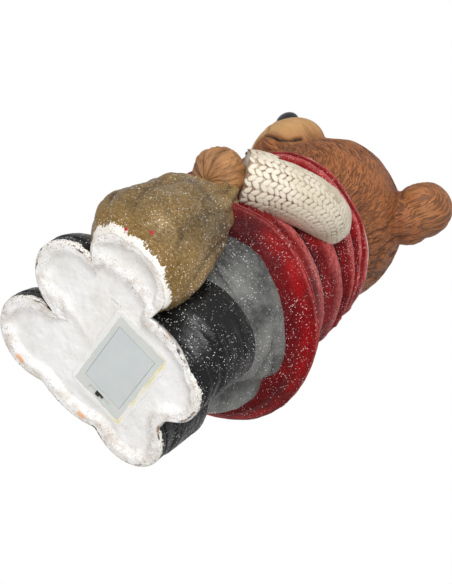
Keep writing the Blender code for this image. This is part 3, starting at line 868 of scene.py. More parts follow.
def buildBoot(side, name):
    heights, insets = bootRows()
    height, turn = np.meshgrid(heights, turns(boots["around"]), indexing="ij")
    inset = np.broadcast_to(insets[:, None], height.shape)
    reaches = [reach(turn, boots["start"], centre, radii) for centre, radii in bootEllipses(height)]
    radius = furthest(reaches, boots["blend"])
    outside = ease(0.5, 0.0, inset)
    place = np.stack([radius * np.sin(turn), radius * np.cos(turn), height], -1)
    sole = bell(height, boots["soleLine"] + 0.4 * lumps(place, 18.0, 11), 1.3)
    ankle = bell(height, boots["ankleLine"] + 3 * np.cos(turn), 3.2) * near(turn, math.pi, 1.3)
    radius = radius - 1.7 * sole - 2.0 * ankle
    seam = bell(height, 52.0 - 12.0 * np.cos(turn) ** 2, 1.2) * near(turn, math.pi, 1.5)
    radius = radius - 0.9 * seam
    creases = sum(
        bell(height, 46.0 + 9.0 * k + 5.0 * np.sin(turn * 1.5 + k), 2.4) * near(turn, 0.2 + 0.3 * k, 0.8)
        for k in range(3)
    )
    wrinkles = sum(
        bell(height + 6.0 * np.sin(1.3 * turn + k), level, 1.9) * near(turn, place, 0.55)
        for k, (level, place) in enumerate(boots["wrinkles"])
    )
    radius = radius - 1.3 * creases - 1.1 * wrinkles
    radius = radius + (0.8 * lumps(place, 16.0, 12) + 0.35 * lumps(place, 5.0, 13)) * outside
    rise = height / boots["top"]
    radius = radius * (1 - 0.10 * ease(0.93, 1.0, rise)) - inset
    x = side * (boots["start"][0] + radius * np.sin(turn))
    y = boots["start"][1] - radius * np.cos(turn)
    z = np.where(height < underside["liftBelow"], liftedInside(x, y, height), height)
    ragged = 0.5 + 2.2 * lumps(place, 9.0, 14) + 1.6 * lumps(place, 3.0, 15)
    bare = np.clip(1 - (z - ragged) / boots["bareHeight"], 0, 1)
    frost = np.clip(0.35 * ease(45, 90, height) + 0.35 * lumps(place, 25.0, 16), 0, 1)
    flow = np.stack([turn * 45.0, z, 0 * z], -1) * unit
    layers = {"bare": bare, "frost": frost, "flow": flow}
    return wear(skin(name, np.stack([x, y, z], -1), paints["boot"], layers))


buildBoot(1, "leftBoot")
buildBoot(-1, "rightBoot")
print("Boots cast")

# The sack, gathered at its neck.


def buildSack():
    top = sack["sections"][-1][0]
    outside = np.linspace(top, 3.0, sack["rows"])
    angle = np.linspace(0, math.pi / 2, 7)[1:]
    under = 0.4 + sack["edgeRound"] * (1 - np.sin(angle))
    heights = np.concatenate([outside, under, [1.2, 8.0, 16.0]])
    insets = np.concatenate([np.zeros(sack["rows"]), 3.0 * (1 - np.cos(angle)), [4.2, 5.5, 7.0]])
    height, turn = np.meshgrid(heights, turns(sack["around"]), indexing="ij")
    inset = np.broadcast_to(insets[:, None], height.shape)
    cx, cy, halfX, halfY = (
        follow(height, [(row[0], row[column]) for row in sack["sections"]]) for column in (1, 2, 3, 4)
    )
    gather = 0.015 + sack["gather"] * ease(70, 165, height)
    wave = np.sin(sack["folds"] * turn + 2.2 * np.sin(turn))
    fold = 1 + gather * wave + 0.02 * np.sin(3 * turn + height / 22)
    slump = 1 + 0.03 * bell(height, 96, 9) * near(turn, 0.3, 1.2)
    place = np.stack([cx + halfX * np.sin(turn), cy - halfY * np.cos(turn), height], -1)
    sag = sum(
        depth * bell(height + slant * turn, level, 5.0) * near(turn, side, width)
        for level, slant, side, width, depth in sack["sags"]
    )
    drape = np.abs(np.sin(4.5 * turn + 1.6 * np.sin(height / 37.0) + 0.8 * np.sin(2 * turn))) ** 0.6 - 0.65
    drape = drape * sack["drape"] * ease(12, 40, height) * ease(150, 100, height)
    fine = 0.014 * lumps(place, 17.0, 21) + 0.006 * lumps(place, 6.0, 22) + drape
    size = fold * slump * (1 - sag + fine)
    x = cx + (halfX * size - inset) * np.sin(turn)
    y = cy - (halfY * size - inset) * np.cos(turn)
    z = np.where(height < underside["liftBelow"], liftedInside(x, y, height), height)
    ragged = 0.5 + 2.6 * lumps(place, 9.0, 24) + 2.0 * lumps(place, 3.0, 25)
    bare = np.clip(1 - (z - ragged) / sack["bareHeight"], 0, 1)
    wide = sack["speckWidth"]
    red = sum(
        np.exp(-(((x - sx) / wide) ** 2) - ((y - sy) / wide) ** 2 - ((z - sz) / tall) ** 2)
        for sx, sy, sz, tall in sack["specks"]
    )
    glow = np.clip((1 - ease(6, 34, height)) * 0.9 + 0.2 * lumps(place, 14.0, 26), 0, 1)
    shade = np.clip(-wave * gather * 7.0 - 0.1, 0, 0.7) + np.clip(sag * 12, 0, 0.5)
    shade = shade + np.clip(-drape * 16, 0, 0.6) + 0.35 * np.clip(lumps(place, 42.0, 27), 0, 1)
    shade = np.clip(shade, 0, 0.85)
    flow = np.stack([turn * 35.0, height, 0 * turn], -1) * unit
    layers = {"bare": bare, "glow": glow, "shade": shade, "flow": flow, "red": red}
    return wear(skin("sack", np.stack([x, y, z], -1), paints["sack"], layers))


buildSack()
print("Sack cast")

# Trousers, parted into two legs.

trousers = {
    "low": 80.0,
    "high": 172.0,
    "around": 270,
    "rows": 84,
    "radii": ((80, 80), (94, 90), (112, 99), (135, 106), (155, 109), (172, 106)),
    "parting": 15.0,
    # height, slant, direction, width, depth
    "folds": (
        (104, 14, 1.9, 0.32, 2.6),
        (112, -16, 2.1, 0.30, 2.0),
        (126, 20, 2.75, 0.22, 2.8),
        (140, -26, 2.85, 0.2, 2.6),
        (108, 18, -1.9, 0.32, 2.6),
        (128, -18, -2.6, 0.25, 2.6),
        (118, 16, 0.5, 0.3, 2.2),
        (122, -16, -0.6, 0.3, 2.2),
    ),
}


def buildTrousers():
    turn, rise = gridOf(trousers["around"], np.linspace(0, 1, trousers["rows"]))
    height = trousers["low"] + (trousers["high"] - trousers["low"]) * rise
    radius = follow(height, trousers["radii"])
    parting = near(turn, 0.0, 0.17) + near(turn, math.pi, 0.17)
    radius = radius - trousers["parting"] * parting * (1 - 0.35 * ease(100, 165, height))
    place = np.stack([radius * np.sin(turn), radius * np.cos(turn), height], -1)
    low = 1 - ease(92, 150, height)
    pleats = np.sin(11 * turn + 1.5 * np.sin(2 * turn))
    radius = radius + 2.4 * low * pleats + 1.6 * np.sin(5 * turn + height / 13.0)
    folds = sum(
        depth * bell(height + slant * (turn - side), level, 3.2) * near(turn, side, width)
        for level, slant, side, width, depth in trousers["folds"]
    )
    radius = radius - folds + 0.8 * lumps(place, 14.0, 31) + 0.25 * lumps(place, 5.0, 32)
    shade = 0.30 * folds / 2.6 + 0.6 * parting * (0.3 + 0.7 * low) - 0.1
    # darker beside the sack and towards the parting behind
    shade = np.clip(shade + 1.2 * near(turn, 1.48, 0.38) + 0.4 * near(turn, 2.9, 0.3), 0, 0.92)
    frost = np.clip(0.35 * lumps(place, 20.0, 33) + 0.15 * pleats * low, 0, 1)
    rows = np.stack([0.94 * radius * np.sin(turn), 5.0 - radius * np.cos(turn), height], -1)
    return wear(skin("trousers", rows, paints["trousers"], {"shade": shade, "frost": frost}))


buildTrousers()
print("Trousers cast")

# The vest: padded rolls that lap over each other, with a closing in front.

vest = {
    "levels": (148.0, 178.0, 228.0, 277.0, 320.0, 343.0, 352.0),
    "backDrops": (0.0, 0.0, -4.0, -4.0, 18.0, 26.0, 6.0),
    "frontDrops": (14.0, 14.0, 8.0, 2.0, 0.0, 0.0, 0.0),
    "rolls": (8.0, 6.0, 5.5, 5.0, 3.5, 2.0),
    # height and radius, then what the belly adds in front, then the width's share
    "body": (
        *((134, 110), (150, 114), (177, 119), (192, 112), (206, 105)),
        *((228, 100), (277, 95), (320, 92), (352, 90)),
    ),
    "belly": ((134, -5), (177, -4), (205, 6), (235, 17), (262, 19), (295, 12), (335, 1)),
    "narrow": ((134, 0.96), (250, 0.97), (352, 0.99)),
    "centre": 7.0,
    "collarSpread": 11.0,
    "around": 330,
    "perRoll": 26,
}


def buildVest():
    count = len(vest["rolls"])
    turn, rise = gridOf(vest["around"], np.linspace(0, count, count * vest["perRoll"]))
    place = np.stack([100 * np.sin(turn), 100 * np.cos(turn), 40 * rise], -1)
    wander = 0.05 * lumps(place, 45.0, 41)
    rise = np.where((rise > 0.2) & (rise < count - 0.2), rise + wander, rise)
    roll = np.clip(np.floor(rise), 0, count - 1).astype(int)
    share = rise - roll
    behind = ease(1.9, 2.8, np.abs(turn))
    before = ease(1.8, 1.1, np.abs(turn))
    lower, upper = (
        np.array(vest["levels"])[roll + step]
        - np.array(vest["backDrops"])[roll + step] * behind
        - np.array(vest["frontDrops"])[roll + step] * before
        for step in (0, 1)
    )
    height = lower * (1 - share) + upper * share
    radius = follow(height, vest["body"]) + follow(height, vest["belly"]) * ease(1.7, 0.3, np.abs(turn))
    radius = radius + vest["collarSpread"] * ease(300, 345, height) * ease(2.0, 1.0, np.abs(turn))
    closing = near(turn, 0.0, 0.055)
    lapped = np.clip(share, 0, 1) ** 1.7
    swell = np.sin(np.pi * lapped) ** 0.75
    radius = radius + np.array(vest["rolls"])[roll] * swell * (1 - 0.8 * closing) - 2.0 * closing
    doubled = bell(rise, 0.66, 0.035) + bell(rise, 0.84, 0.045)
    radius = radius + 1.5 * doubled - 1.3 * bell(rise, 0.74, 0.03) - 0.8 * bell(rise, 0.20, 0.03)
    pulls = lumps(np.stack([150 * turn, 12 * rise], -1), 24.0, 42)
    radius = radius + 1.0 * pulls * swell + 0.6 * lumps(place, 11.0, 43)
    crest = ease(0.35, 0.75, share) * (rise > 1)
    frost = crest * (1.0 + 0.4 * lumps(place, 26.0, 44)) + 0.75 * doubled + 0.10 * lumps(place, 15.0, 45)
    frost = np.clip(frost, 0, 1)
    # painted shade: in the groove at the foot of each roll, along the closing, low on the hem and beside the
    # sack
    hollow = bell(share, 0.03, 0.09) * (rise > 0.5) + 0.5 * closing
    hollow = hollow + 0.35 * bell(rise, 0.05, 0.12) + 0.9 * near(turn, 1.45, 0.26) * bell(rise, 0.2, 0.6)
    # painted highlight: a brighter band along the middle of the hem roll
    glow = bell(rise, 0.40, 0.13) * (0.75 + 0.4 * lumps(place, 34.0, 46))
    rim = bell(rise, count - 0.12, 0.10)
    rim = rim + 0.9 * bell(rise, count - 1.02, 0.035) * ease(2.6, 1.4, np.abs(turn))
    narrow = follow(height, vest["narrow"])
    rows = np.stack([narrow * radius * np.sin(turn), vest["centre"] - radius * np.cos(turn), height], -1)
    layers = {"frost": frost, "shade": np.clip(hollow, 0, 0.85), "glow": np.clip(glow, 0, 1), "rim": rim}
    return wear(skin("vest", rows, paints["vest"], layers))


buildVest()
print("Vest cast")

# The head: a ball with muzzle, chin, neck and ears run together, then carved with fur.

head = {
    "centre": (0.0, -2.0, 412.0),
    "yaw": math.radians(19.0),
    "pitch": math.radians(20.0),
    "radius": 97.0,
    # each rounded form: its centre across, ahead and up from the head's, then its radii
    "muzzle": ((0.0, 83.0, -12.0), (51.0, 37.0, 32.0)),
    "chin": ((0.0, 76.0, -34.0), (31.0, 31.0, 21.0)),
    "nose": ((0.0, 122.0, 6.0), (15.0, 11.0, 11.0)),
    "eye": ((38.5, 76.0, 30.0), (8.0, 6.5, 9.5)),
    "ear": ((100.0, -27.0, 61.0), (31.0, 32.0, 33.0)),
    "earRoot": ((84.0, -34.0, 46.0), (27.0, 28.0, 30.0)),
    "earHollow": ((104.0, 6.0, 64.0), (19.0, 19.0, 21.0)),
    "neck": (89.0, 90.0, 44.0),
    "neckCentre": (0.0, 3.0, 352.0),
    "voxel": 0.0016,
    "easing": 6,
    # depths of the strands' grooves, of their locks and of the mouth line, and the line's width
    "groove": 1.7,
    "lock": 0.6,
    "mouthDepth": 3.2,
    "mouthWidth": 1.6,
    "smile": (
        (0.0, 101.5, -43.0),
        (8.8, 98.2, -47.4),
        (15.9, 92.3, -48.3),
        (22.0, 87.2, -46.7),
        (27.9, 84.3, -41.3),
        (32.7, 82.6, -36.5),
        (38.5, 81.2, -33.0),
    ),
    # how far along its cut a mouth line still marks the surface
    "lineReach": 14.0,
    "furPole": math.radians(32.0),
    "mouthCut": (0.52, 0.40, -0.75),
    "philtrumCut": (0.0, 0.5, -1.0),
    "philtrum": ((0.0, 119.0, -8.0), (0.0, 116.0, -26.0), (0.0, 108.0, -37.0), (0.0, 101.5, -43.0)),
}
cosYaw, sinYaw = math.cos(head["yaw"]), math.sin(head["yaw"])
cosPitch, sinPitch = math.cos(head["pitch"]), math.sin(head["pitch"])
facing = np.array([sinYaw * cosPitch, -cosYaw * cosPitch, sinPitch])
leftward = np.array([cosYaw, sinYaw, 0.0])
headAxes = np.stack([leftward, facing, np.cross(leftward, -facing)])


def ballGrid(around, rows):
    # Directions round a ball and rises up it, short of its poles, which skin closes.
    return gridOf(around, np.linspace(0.02, 0.98, rows))


def onBall(turn, rise):
    tilt = math.pi * (rise - 0.5)
    return np.stack([np.cos(tilt) * np.sin(turn), np.cos(tilt) * np.cos(turn), np.sin(tilt)], -1)


def ball(around, rows):
    return onBall(*ballGrid(around, rows))


def fromHead(places):
    return np.array(head["centre"]) + places @ headAxes


def toHead(places):
    return (places - np.array(head["centre"])) @ headAxes.T


def headBall(form, side, around, rows):
    (across, ahead, up), radii = form
    return fromHead(ball(around, rows) * radii + (side * across, ahead, up))


def skull():
    unitBall = ball(120, 80)
    across, ahead, up = np.moveaxis(unitBall, -1, 0)
    cheeks = np.exp(-(((np.abs(across) - 0.78) ** 2 + (ahead - 0.35) ** 2 + (up + 0.35) ** 2) / 0.35))
    brow = np.exp(-((across**2 + (ahead - 0.86) ** 2 + (up - 0.42) ** 2) / 0.12))
    sockets = np.exp(-(((np.abs(across) - 0.44) ** 2 + (ahead - 0.83) ** 2 + (up - 0.34) ** 2) / 0.025))
    middle, radii = (np.array(part) for part in head["muzzle"])
    away = np.linalg.norm((head["radius"] * unitBall - middle) / radii, axis=-1)
    hollow = ease(1.65, 1.15, away)
    size = head["radius"] * (1 + 0.055 * cheeks + 0.02 * brow - 0.05 * sockets - 0.04 * hollow)
    return fromHead(unitBall * size[..., None] * (1, 0.98, 1))


def within(places, form, side=1, grow=1.0):
    # Below 1 inside a rounded form, above 1 outside it.
    (across, ahead, up), radii = form
    return np.linalg.norm((places - (side * across, ahead, up)) / (np.array(radii) * grow), axis=-1)


def lineDistance(places, path, cut, side=1):
    # How far places are from a line that is cut into the surface along one direction.
    cut = np.array(cut) / np.linalg.norm(cut) * (side, 1, 1)
    best = np.full(len(places), 1e9)
    for a, b in zip(path, path[1:]):
        a, b = np.array(a) * (side, 1, 1), np.array(b) * (side, 1, 1)
        aside = (b - a) - ((b - a) @ cut) * cut
        share = np.clip((places - a) @ aside / (aside @ aside), 0, 1)
        gap = places - a - share[:, None] * (b - a)
        deep = gap @ cut
        beside = np.linalg.norm(gap - deep[:, None] * cut, axis=1)
        best = np.minimum(best, beside + np.maximum(np.abs(deep) - head["lineReach"], 0))
    return best


def joined(name, pieces, finish):
    # Several pieces as one mesh.
    points, faces, start = [], [], 0
    for piece in pieces:
        places = placesOf(piece)
        points.append(places)
        faces += [tuple(start + v for v in polygon.vertices) for polygon in piece.data.polygons]
        start += len(places)
        bpy.data.objects.remove(piece, do_unlink=True)
    return meshFrom(name, np.concatenate(points), faces, finish)


def remeshed(piece, voxel):
    change = piece.modifiers.new("one skin", "REMESH")
    change.mode = "VOXEL"
    change.voxel_size = voxel
    change.use_smooth_shade = True
    return applied(piece)


def eased(piece, rounds):
    # Takes the steps out of a remeshed surface.
    change = piece.modifiers.new("ease", "SMOOTH")
    change.factor = 0.5
    change.iterations = rounds
    return applied(piece)


def furFlow(local):
    # Strands run down and back from the brow: across goes round it, along is away from it.
    tilt = head["furPole"]
    turned = np.array([(1, 0, 0), (0, math.cos(tilt), -math.sin(tilt)), (0, math.sin(tilt), math.cos(tilt))])
    x, y, z = turned.T @ local.T
    span = np.linalg.norm(local, axis=1)
    away = np.arccos(np.clip(y / np.maximum(span, 1e-6), -1, 1))
    about = np.arctan2(x, z)
    wander = 0.05 * lumps(local, 40.0, 51) + 0.02 * lumps(local, 13.0, 52)
    across = (about + wander) * head["radius"] * np.maximum(np.sin(away), 0.35)
    return np.stack([across, (away + wander) * head["radius"], 0.15 * span], -1)


def buildHead():
    neckRadii = np.array(head["neck"])
    forms = [
        skull(),
        headBall(head["muzzle"], 1, 80, 50),
        headBall(head["chin"], 1, 60, 40),
        np.array(head["neckCentre"]) + ball(90, 40) * neckRadii * (1, -1, 0.8),
        headBall(head["ear"], 1, 70, 50),
        headBall(head["ear"], -1, 70, 50),
        headBall(head["earRoot"], 1, 50, 36),
        headBall(head["earRoot"], -1, 50, 36),
    ]
    piece = joined("head", [skin("form", form, paints["fur"]) for form in forms], paints["fur"])
    piece = eased(remeshed(piece, head["voxel"]), head["easing"])
    places = (placesOf(piece) - shift) / unit
    local = toHead(places)
    normals = normalsOf(piece)
    # ear hollows: pushed back into a bowl
    depth = np.zeros(len(local))
    for side in (1, -1):
        (across, ahead, up), radii = head["earHollow"]
        flat = np.hypot((local[:, 0] - side * across) / radii[0], (local[:, 2] - up) / radii[2])
        bowl = ahead - radii[1] * np.sqrt(np.maximum(1 - flat**2, 0))
        inside = (flat < 1) & (local[:, 1] > bowl) & (local[:, 1] > -20)
        depth = np.where(inside, local[:, 1] - bowl, depth)
    local = local - depth[:, None] * (0, 1, 0)
    flow = furFlow(local)
    aside = np.abs(local[:, 0])
    calm = 1 - 0.65 * ease(0.86, 1.0, aside / head["radius"]) - 0.35 * ease(0.1, 0.6, lumps(local, 60.0, 57))
    strand = np.minimum(lumps(flow * (1, 0.30, 0.5), 3.3, 53), lumps(flow * (1, 0.26, 0.5), 4.4, 58))
    groove = ease(-0.25, -0.55, strand) * np.clip(calm, 0.15, 1)
    lock = lumps(flow * (1, 0.25, 0.5), 8.0, 54)
    # the muzzle is tan, less so under its lip and where it meets the face
    lip = -48.0 + 15.0 * np.clip(aside / 38.0, 0, 1.3) ** 2
    tan = ease(1.34, 0.96, within(local, head["muzzle"])) * (0.30 + 0.70 * ease(74, 104, local[:, 1]))
    tan = tan * (0.62 + 0.38 * ease(-14.0, 3.0, local[:, 2] - lip))
    earward = np.minimum(within(local, head["ear"], 1), within(local, head["ear"], -1))
    tan = np.maximum(tan, 0.14 * ease(1.15, 0.95, earward))
    smooth = 1 - 0.85 * tan
    carve = (head["lock"] * lock - head["groove"] * groove - 0.3 + 0.8 * lumps(local, 26.0, 55)) * smooth
    mouth = lineDistance(local, head["philtrum"], head["philtrumCut"])
    for side in (1, -1):
        mouth = np.minimum(mouth, lineDistance(local, head["smile"], head["mouthCut"], side))
    # the mouth is a cut with a low bank on each side
    carve = carve - head["mouthDepth"] * bell(mouth, 0, head["mouthWidth"]) + 0.7 * bell(mouth, 4.5, 2.5)
    places = fromHead(local) + normals * carve[:, None]
    piece.data.vertices.foreach_set("co", (places * unit + shift).astype(np.float32).ravel())
    piece.data.update()
    sockets = np.minimum(within(local, head["eye"], 1, 1.5), within(local, head["eye"], -1, 1.5))
    shade = 0.25 * np.exp(-((mouth / 2.2) ** 2)) + 0.6 * ease(1.25, 0.8, sockets) + 0.5 * ease(2, 14, depth)
    shade = shade + 0.50 * groove * smooth
    line = np.clip(1.5 * np.exp(-((mouth / 1.15) ** 2)) - 0.1, 0, 1)
    layers = {"flow": flow * unit, "tan": tan, "shade": np.clip(shade, 0, 0.95), "line": line}
    for layer, values in layers.items():
        setLayer(piece.data, layer, values)
    print("Head carved:", len(places), "points")
    return wear(piece)


buildHead()
for side, word in ((1, "left"), (-1, "right")):
    wear(skin(word + "Eye", headBall(head["eye"], side, 40, 24), paints["gloss"]))
wear(skin("nose", headBall(head["nose"], 1, 60, 40), paints["gloss"]))
print("Face finished")

# Node trees, for what repeats.


def newTree(name, inputs, output):
    # A Geometry Nodes tree with named inputs; gives back the tree and what its inputs send out.
    tree = bpy.data.node_groups.new(name, "GeometryNodeTree")
    for label, kind in inputs.items():
        tree.interface.new_socket(label, in_out="INPUT", socket_type="NodeSocket" + kind)
    tree.interface.new_socket(output, in_out="OUTPUT", socket_type="NodeSocketGeometry")
    return tree, tree.nodes.new("NodeGroupInput").outputs


def endTree(tree, instances, finish, smooth):
    # Makes the instances real, paints them and sends them out.
    real = addNode(tree, "GeometryNodeRealizeInstances", {0: instances.outputs[0]})
    shaded = {"Geometry": real.outputs[0], "Shade Smooth": smooth}
    shaded = addNode(tree, "GeometryNodeSetShadeSmooth", shaded)
    painted = addNode(tree, "GeometryNodeSetMaterial", {"Geometry": shaded.outputs[0], "Material": finish})
    addNode(tree, "NodeGroupOutput", {0: painted.outputs[0]})


def runTree(piece, tree, settings):
    # Runs a node tree on a piece and keeps its plain mesh.
    change = piece.modifiers.new(tree.name, "NODES")
    change.node_group = tree
    for item in tree.interface.items_tree:
        if item.item_type == "SOCKET" and item.in_out == "INPUT" and item.name in settings:
            change[item.identifier] = settings[item.name]
    return applied(piece)


# Sleeves and paws.

sleeve = {
    "left": ((100.0, 30.0, 275.0), (124.0, 20.0, 252.0), (127.0, -8.0, 222.0), (117.0, -45.0, 197.0)),
    "right": ((-98.0, 34.0, 290.0), (-128.0, 14.0, 254.0), (-132.0, -30.0, 222.0), (-108.0, -72.0, 206.0)),
    "radius": ((0.0, 24.5), (0.35, 26.5), (0.75, 27.5), (1.0, 27.0)),
    "cuff": 0.80,
    "columns": 15,
    "stitchPitch": 6.2,
    "stitchLength": 11.2,
    "stitchWidth": 6.3,
    "stitchHeight": 1.35,
    "cuffRise": 2.6,
    "shoulder": 30.0,
    # the length that its rows of stitches share out, how they lean from it and how far they wind round
    "length": 135.0,
    "slant": math.radians(38.0),
    "wind": 0.25,
    "seed": 5,
    "around": 170,
    "rows": 110,
    # where each sleeve's knitting is worn smooth, as a direction round it
    "wornSide": {1: math.radians(138.0), -1: math.radians(42.0)},
}
paws = {
    "left": ((111.0, -62.0, 183.0), (27.0, 27.0, 25.0)),
    "right": ((-91.0, -89.0, 203.0), (27.0, 24.0, 23.0)),
    # directions of the hollows between the fingers
    "gaps": (-0.8, -0.15, 0.5, 1.15),
    "tan": 0.46,
    "around": 110,
    "rows": 72,
}


def onPath(path, share):
    p0, p1, p2, p3 = (np.array(point) for point in path)
    t = np.asarray(share, float)[..., None]
    place = (1 - t) ** 3 * p0 + 3 * t * (1 - t) ** 2 * p1 + 3 * t * t * (1 - t) * p2 + t**3 * p3
    way = 3 * (1 - t) ** 2 * (p1 - p0) + 6 * t * (1 - t) * (p2 - p1) + 3 * t * t * (p3 - p2)
    return place, way / np.linalg.norm(way, axis=-1, keepdims=True)


def sleevePlace(path, turn, rise):
    # The sleeve's surface, the way along it and the way out of it.
    share = np.clip(rise, 0.0, 1.0)
    place, way = onPath(path, share)
    side = np.cross(way, (0.0, 0.0, 1.0))
    side = side / np.linalg.norm(side, axis=-1, keepdims=True)
    over = np.cross(side, way)
    cuff = ease(sleeve["cuff"] - 0.02, sleeve["cuff"] + 0.04, share) * (1 - 0.6 * ease(0.94, 1.0, share))
    radius = follow(share, sleeve["radius"]) + sleeve["cuffRise"] * cuff
    end = np.clip(-rise / 0.2, 0.0, 1.0)
    radius = radius * np.sqrt(np.maximum(1 - end**2, 0.02))
    outward = np.cos(turn)[..., None] * side + np.sin(turn)[..., None] * over
    place = place - way * (sleeve["shoulder"] * end)[..., None] + radius[..., None] * outward
    return place, way, outward


def stitchTree():
    # Instances of one leaf-shaped stitch on points that carry their own directions and size.
    inputs = {"Points": "Geometry", "Length": "Float", "Width": "Float", "Height": "Float"}
    tree, start = newTree("Knit stitches", {**inputs, "Finish": "Material"}, "Stitches")
    leaf = addNode(tree, "GeometryNodeMeshUVSphere", {"Segments": 10, "Rings": 7, "Radius": 0.5})
    place = addNode(tree, "GeometryNodeInputPosition").outputs[0]
    apart = addNode(tree, "ShaderNodeSeparateXYZ", {0: place}).outputs
    # brown wash gathers low on each stitch
    deep = addNode(tree, "ShaderNodeMapRange", {"Value": apart["Z"], "From Min": 0.36, "From Max": 0.14})
    washed = addNode(
        tree,
        "GeometryNodeStoreNamedAttribute",
        {"Geometry": leaf.outputs["Mesh"], "Name": "wash", "Value": deep.outputs[0]},
        data_type="FLOAT",
        domain="POINT",
    )
    # flat tops, so that neighbours meet along thin valleys
    top = addNode(tree, "ShaderNodeMath", {0: apart["Z"], 1: 0.38}, operation="MINIMUM")
    flat = addNode(tree, "ShaderNodeCombineXYZ", {"X": apart["X"], "Y": apart["Y"], "Z": top.outputs[0]})
    pressed = {"Geometry": washed.outputs[0], "Position": flat.outputs[0]}
    pressed = addNode(tree, "GeometryNodeSetPosition", pressed)
    reads = [
        addNode(tree, "GeometryNodeInputNamedAttribute", {"Name": name}, data_type="FLOAT_VECTOR")
        for name in ("outward", "along", "size")
    ]
    outward, along, size = (read.outputs["Attribute"] for read in reads)
    turned = addNode(tree, "FunctionNodeAlignRotationToVector", {"Vector": outward}, axis="Z")
    turned = {"Rotation": turned.outputs[0], "Vector": along}
    turned = addNode(tree, "FunctionNodeAlignRotationToVector", turned, axis="X", pivot_axis="Z")
    sizes = {k: start[name] for k, name in enumerate(("Length", "Width", "Height"))}
    sizes = addNode(tree, "ShaderNodeCombineXYZ", sizes)
    scaled = addNode(tree, "ShaderNodeVectorMath", {0: sizes.outputs[0], 1: size}, operation="MULTIPLY")
    instances = {
        "Points": start["Points"],
        "Instance": pressed.outputs[0],
        "Rotation": turned.outputs[0],
        "Scale": scaled.outputs[0],
    }
    endTree(tree, addNode(tree, "GeometryNodeInstanceOnPoints", instances), start["Finish"], True)
    return tree


stitches = stitchTree()


def buildSleeve(path, side, word):
    rises = np.concatenate([np.linspace(-0.195, 0, 20)[:-1], np.linspace(0, 1, sleeve["rows"])])
    turn, rise = gridOf(sleeve["around"], rises)
    place, way, outward = sleevePlace(path, turn, rise)
    share = np.clip(rise, 0, 1)
    upper = upperSide(turn, side)
    fold = bell(share, sleeve["cuff"] + 0.06 * np.sin(turn + 1.0), 0.018)
    ribs = (0.5 + 0.5 * np.sin(share * 120 + 2 * np.sin(turn))) * ease(0.16, 0.02, share)
    bulk = 0.8 * lumps(place, 9.0, 61) + 1.1 * lumps(place, 24.0, 63) * upper + 0.7 * ribs - 1.6 * fold
    rows = place + outward * bulk[..., None]
    wash = (0.95 - 0.7 * upper) * ease(-0.1, 0.35, share) + 0.6 * fold
    wash = wash + 0.2 * (1 - ribs) * ease(0.16, 0.02, share)
    wash = wash * (0.8 + 0.35 * lumps(place, 16.0, 62))
    wear(skin(word + "Sleeve", rows, paints["knit"], {"wash": np.clip(wash, 0, 0.9)}))
    buildKnitting(path, side, word)


def buildKnitting(path, side, word):
    # Columns of paired stitches that wind a little round the sleeve.
    points, outs, alongs, sizes = [], [], [], []
    count = int(sleeve["length"] / sleeve["stitchPitch"])
    chance = np.random.default_rng(sleeve["seed"])
    for column in range(sleeve["columns"]):
        for row in range(-1, count):
            for half in (-1, 1):
                jitter = chance.uniform(-1, 1, 4)
                t = (row + 0.5 + 0.10 * half + 0.10 * jitter[0]) / count
                a = 2 * math.pi * (column + 0.5 + 0.23 * half + 0.03 * jitter[1]) / sleeve["columns"]
                a = a + sleeve["wind"] * t
                spot, spotWay, spotOut = sleevePlace(path, np.array(a), np.array(t))
                worn = float(upperSide(np.array(a), side))
                lean = sleeve["slant"] + 0.12 * jitter[2]
                size = (0.66 + 0.34 * float(ease(-0.1, 0.25, np.array(t)))) * (1 + 0.08 * jitter[3])
                points.append(spot - spotOut * (0.05 + 0.90 * worn))
                outs.append(spotOut)
                alongs.append(-math.cos(lean) * spotWay + half * math.sin(lean) * np.cross(spotOut, spotWay))
                sizes.append((size, size, size))
    cloud = bpy.data.meshes.new(word + "Stitches")
    cloud.from_pydata((np.array(points) * unit + shift).tolist(), [], [])
    for name, values in (("outward", outs), ("along", alongs), ("size", sizes)):
        setLayer(cloud, name, values)
    settings = {
        "Length": sleeve["stitchLength"] * unit,
        "Width": sleeve["stitchWidth"] * unit,
        "Height": sleeve["stitchHeight"] * 2 * unit,
        "Finish": paints["knit"],
    }
    return wear(runTree(objectFrom(word + "Knitting", cloud), stitches, settings))


def upperSide(turn, side):
    # 1 on the sleeve's upper and front side, where its knitting is worn smooth, 0 below and behind.
    return near(turn, sleeve["wornSide"][side], 1.0)


def buildPaw(form, word):
    centre, radii = form
    turn, rise = ballGrid(paws["around"], paws["rows"])
    local = onBall(turn, rise)
    gaps = sum(near(turn, gap, 0.10) for gap in paws["gaps"]) * ease(0.75, 0.45, rise)
    bend = 5 * lumps(local, 0.7, 70)
    flow = np.stack([turn * 26.0 + bend, rise * 70.0 + bend, 0 * turn], -1)
    strand = lumps(flow[..., :2] * (1, 0.22), 4.6, 71)
    groove = np.exp(-((strand / 0.22) ** 2))
    size = 1 - 0.045 * groove + 0.04 * lumps(local, 0.6, 72) - 0.05 * gaps
    rows = np.array(centre) + local * size[..., None] * radii * (1, -1, 1)
    shade = np.clip(0.45 * gaps + 0.35 * groove, 0, 0.8)
    layers = {"flow": flow * unit, "tan": np.full(turn.shape, paws["tan"]), "shade": shade}
    return wear(skin(word + "Paw", rows, paints["fur"], layers))


for side, word in ((1, "left"), (-1, "right")):
    buildSleeve(sleeve[word], side, word)
    buildPaw(paws[word], word)
print("Arms finished")

# The battery box's own nodes keep their form and get finishes.

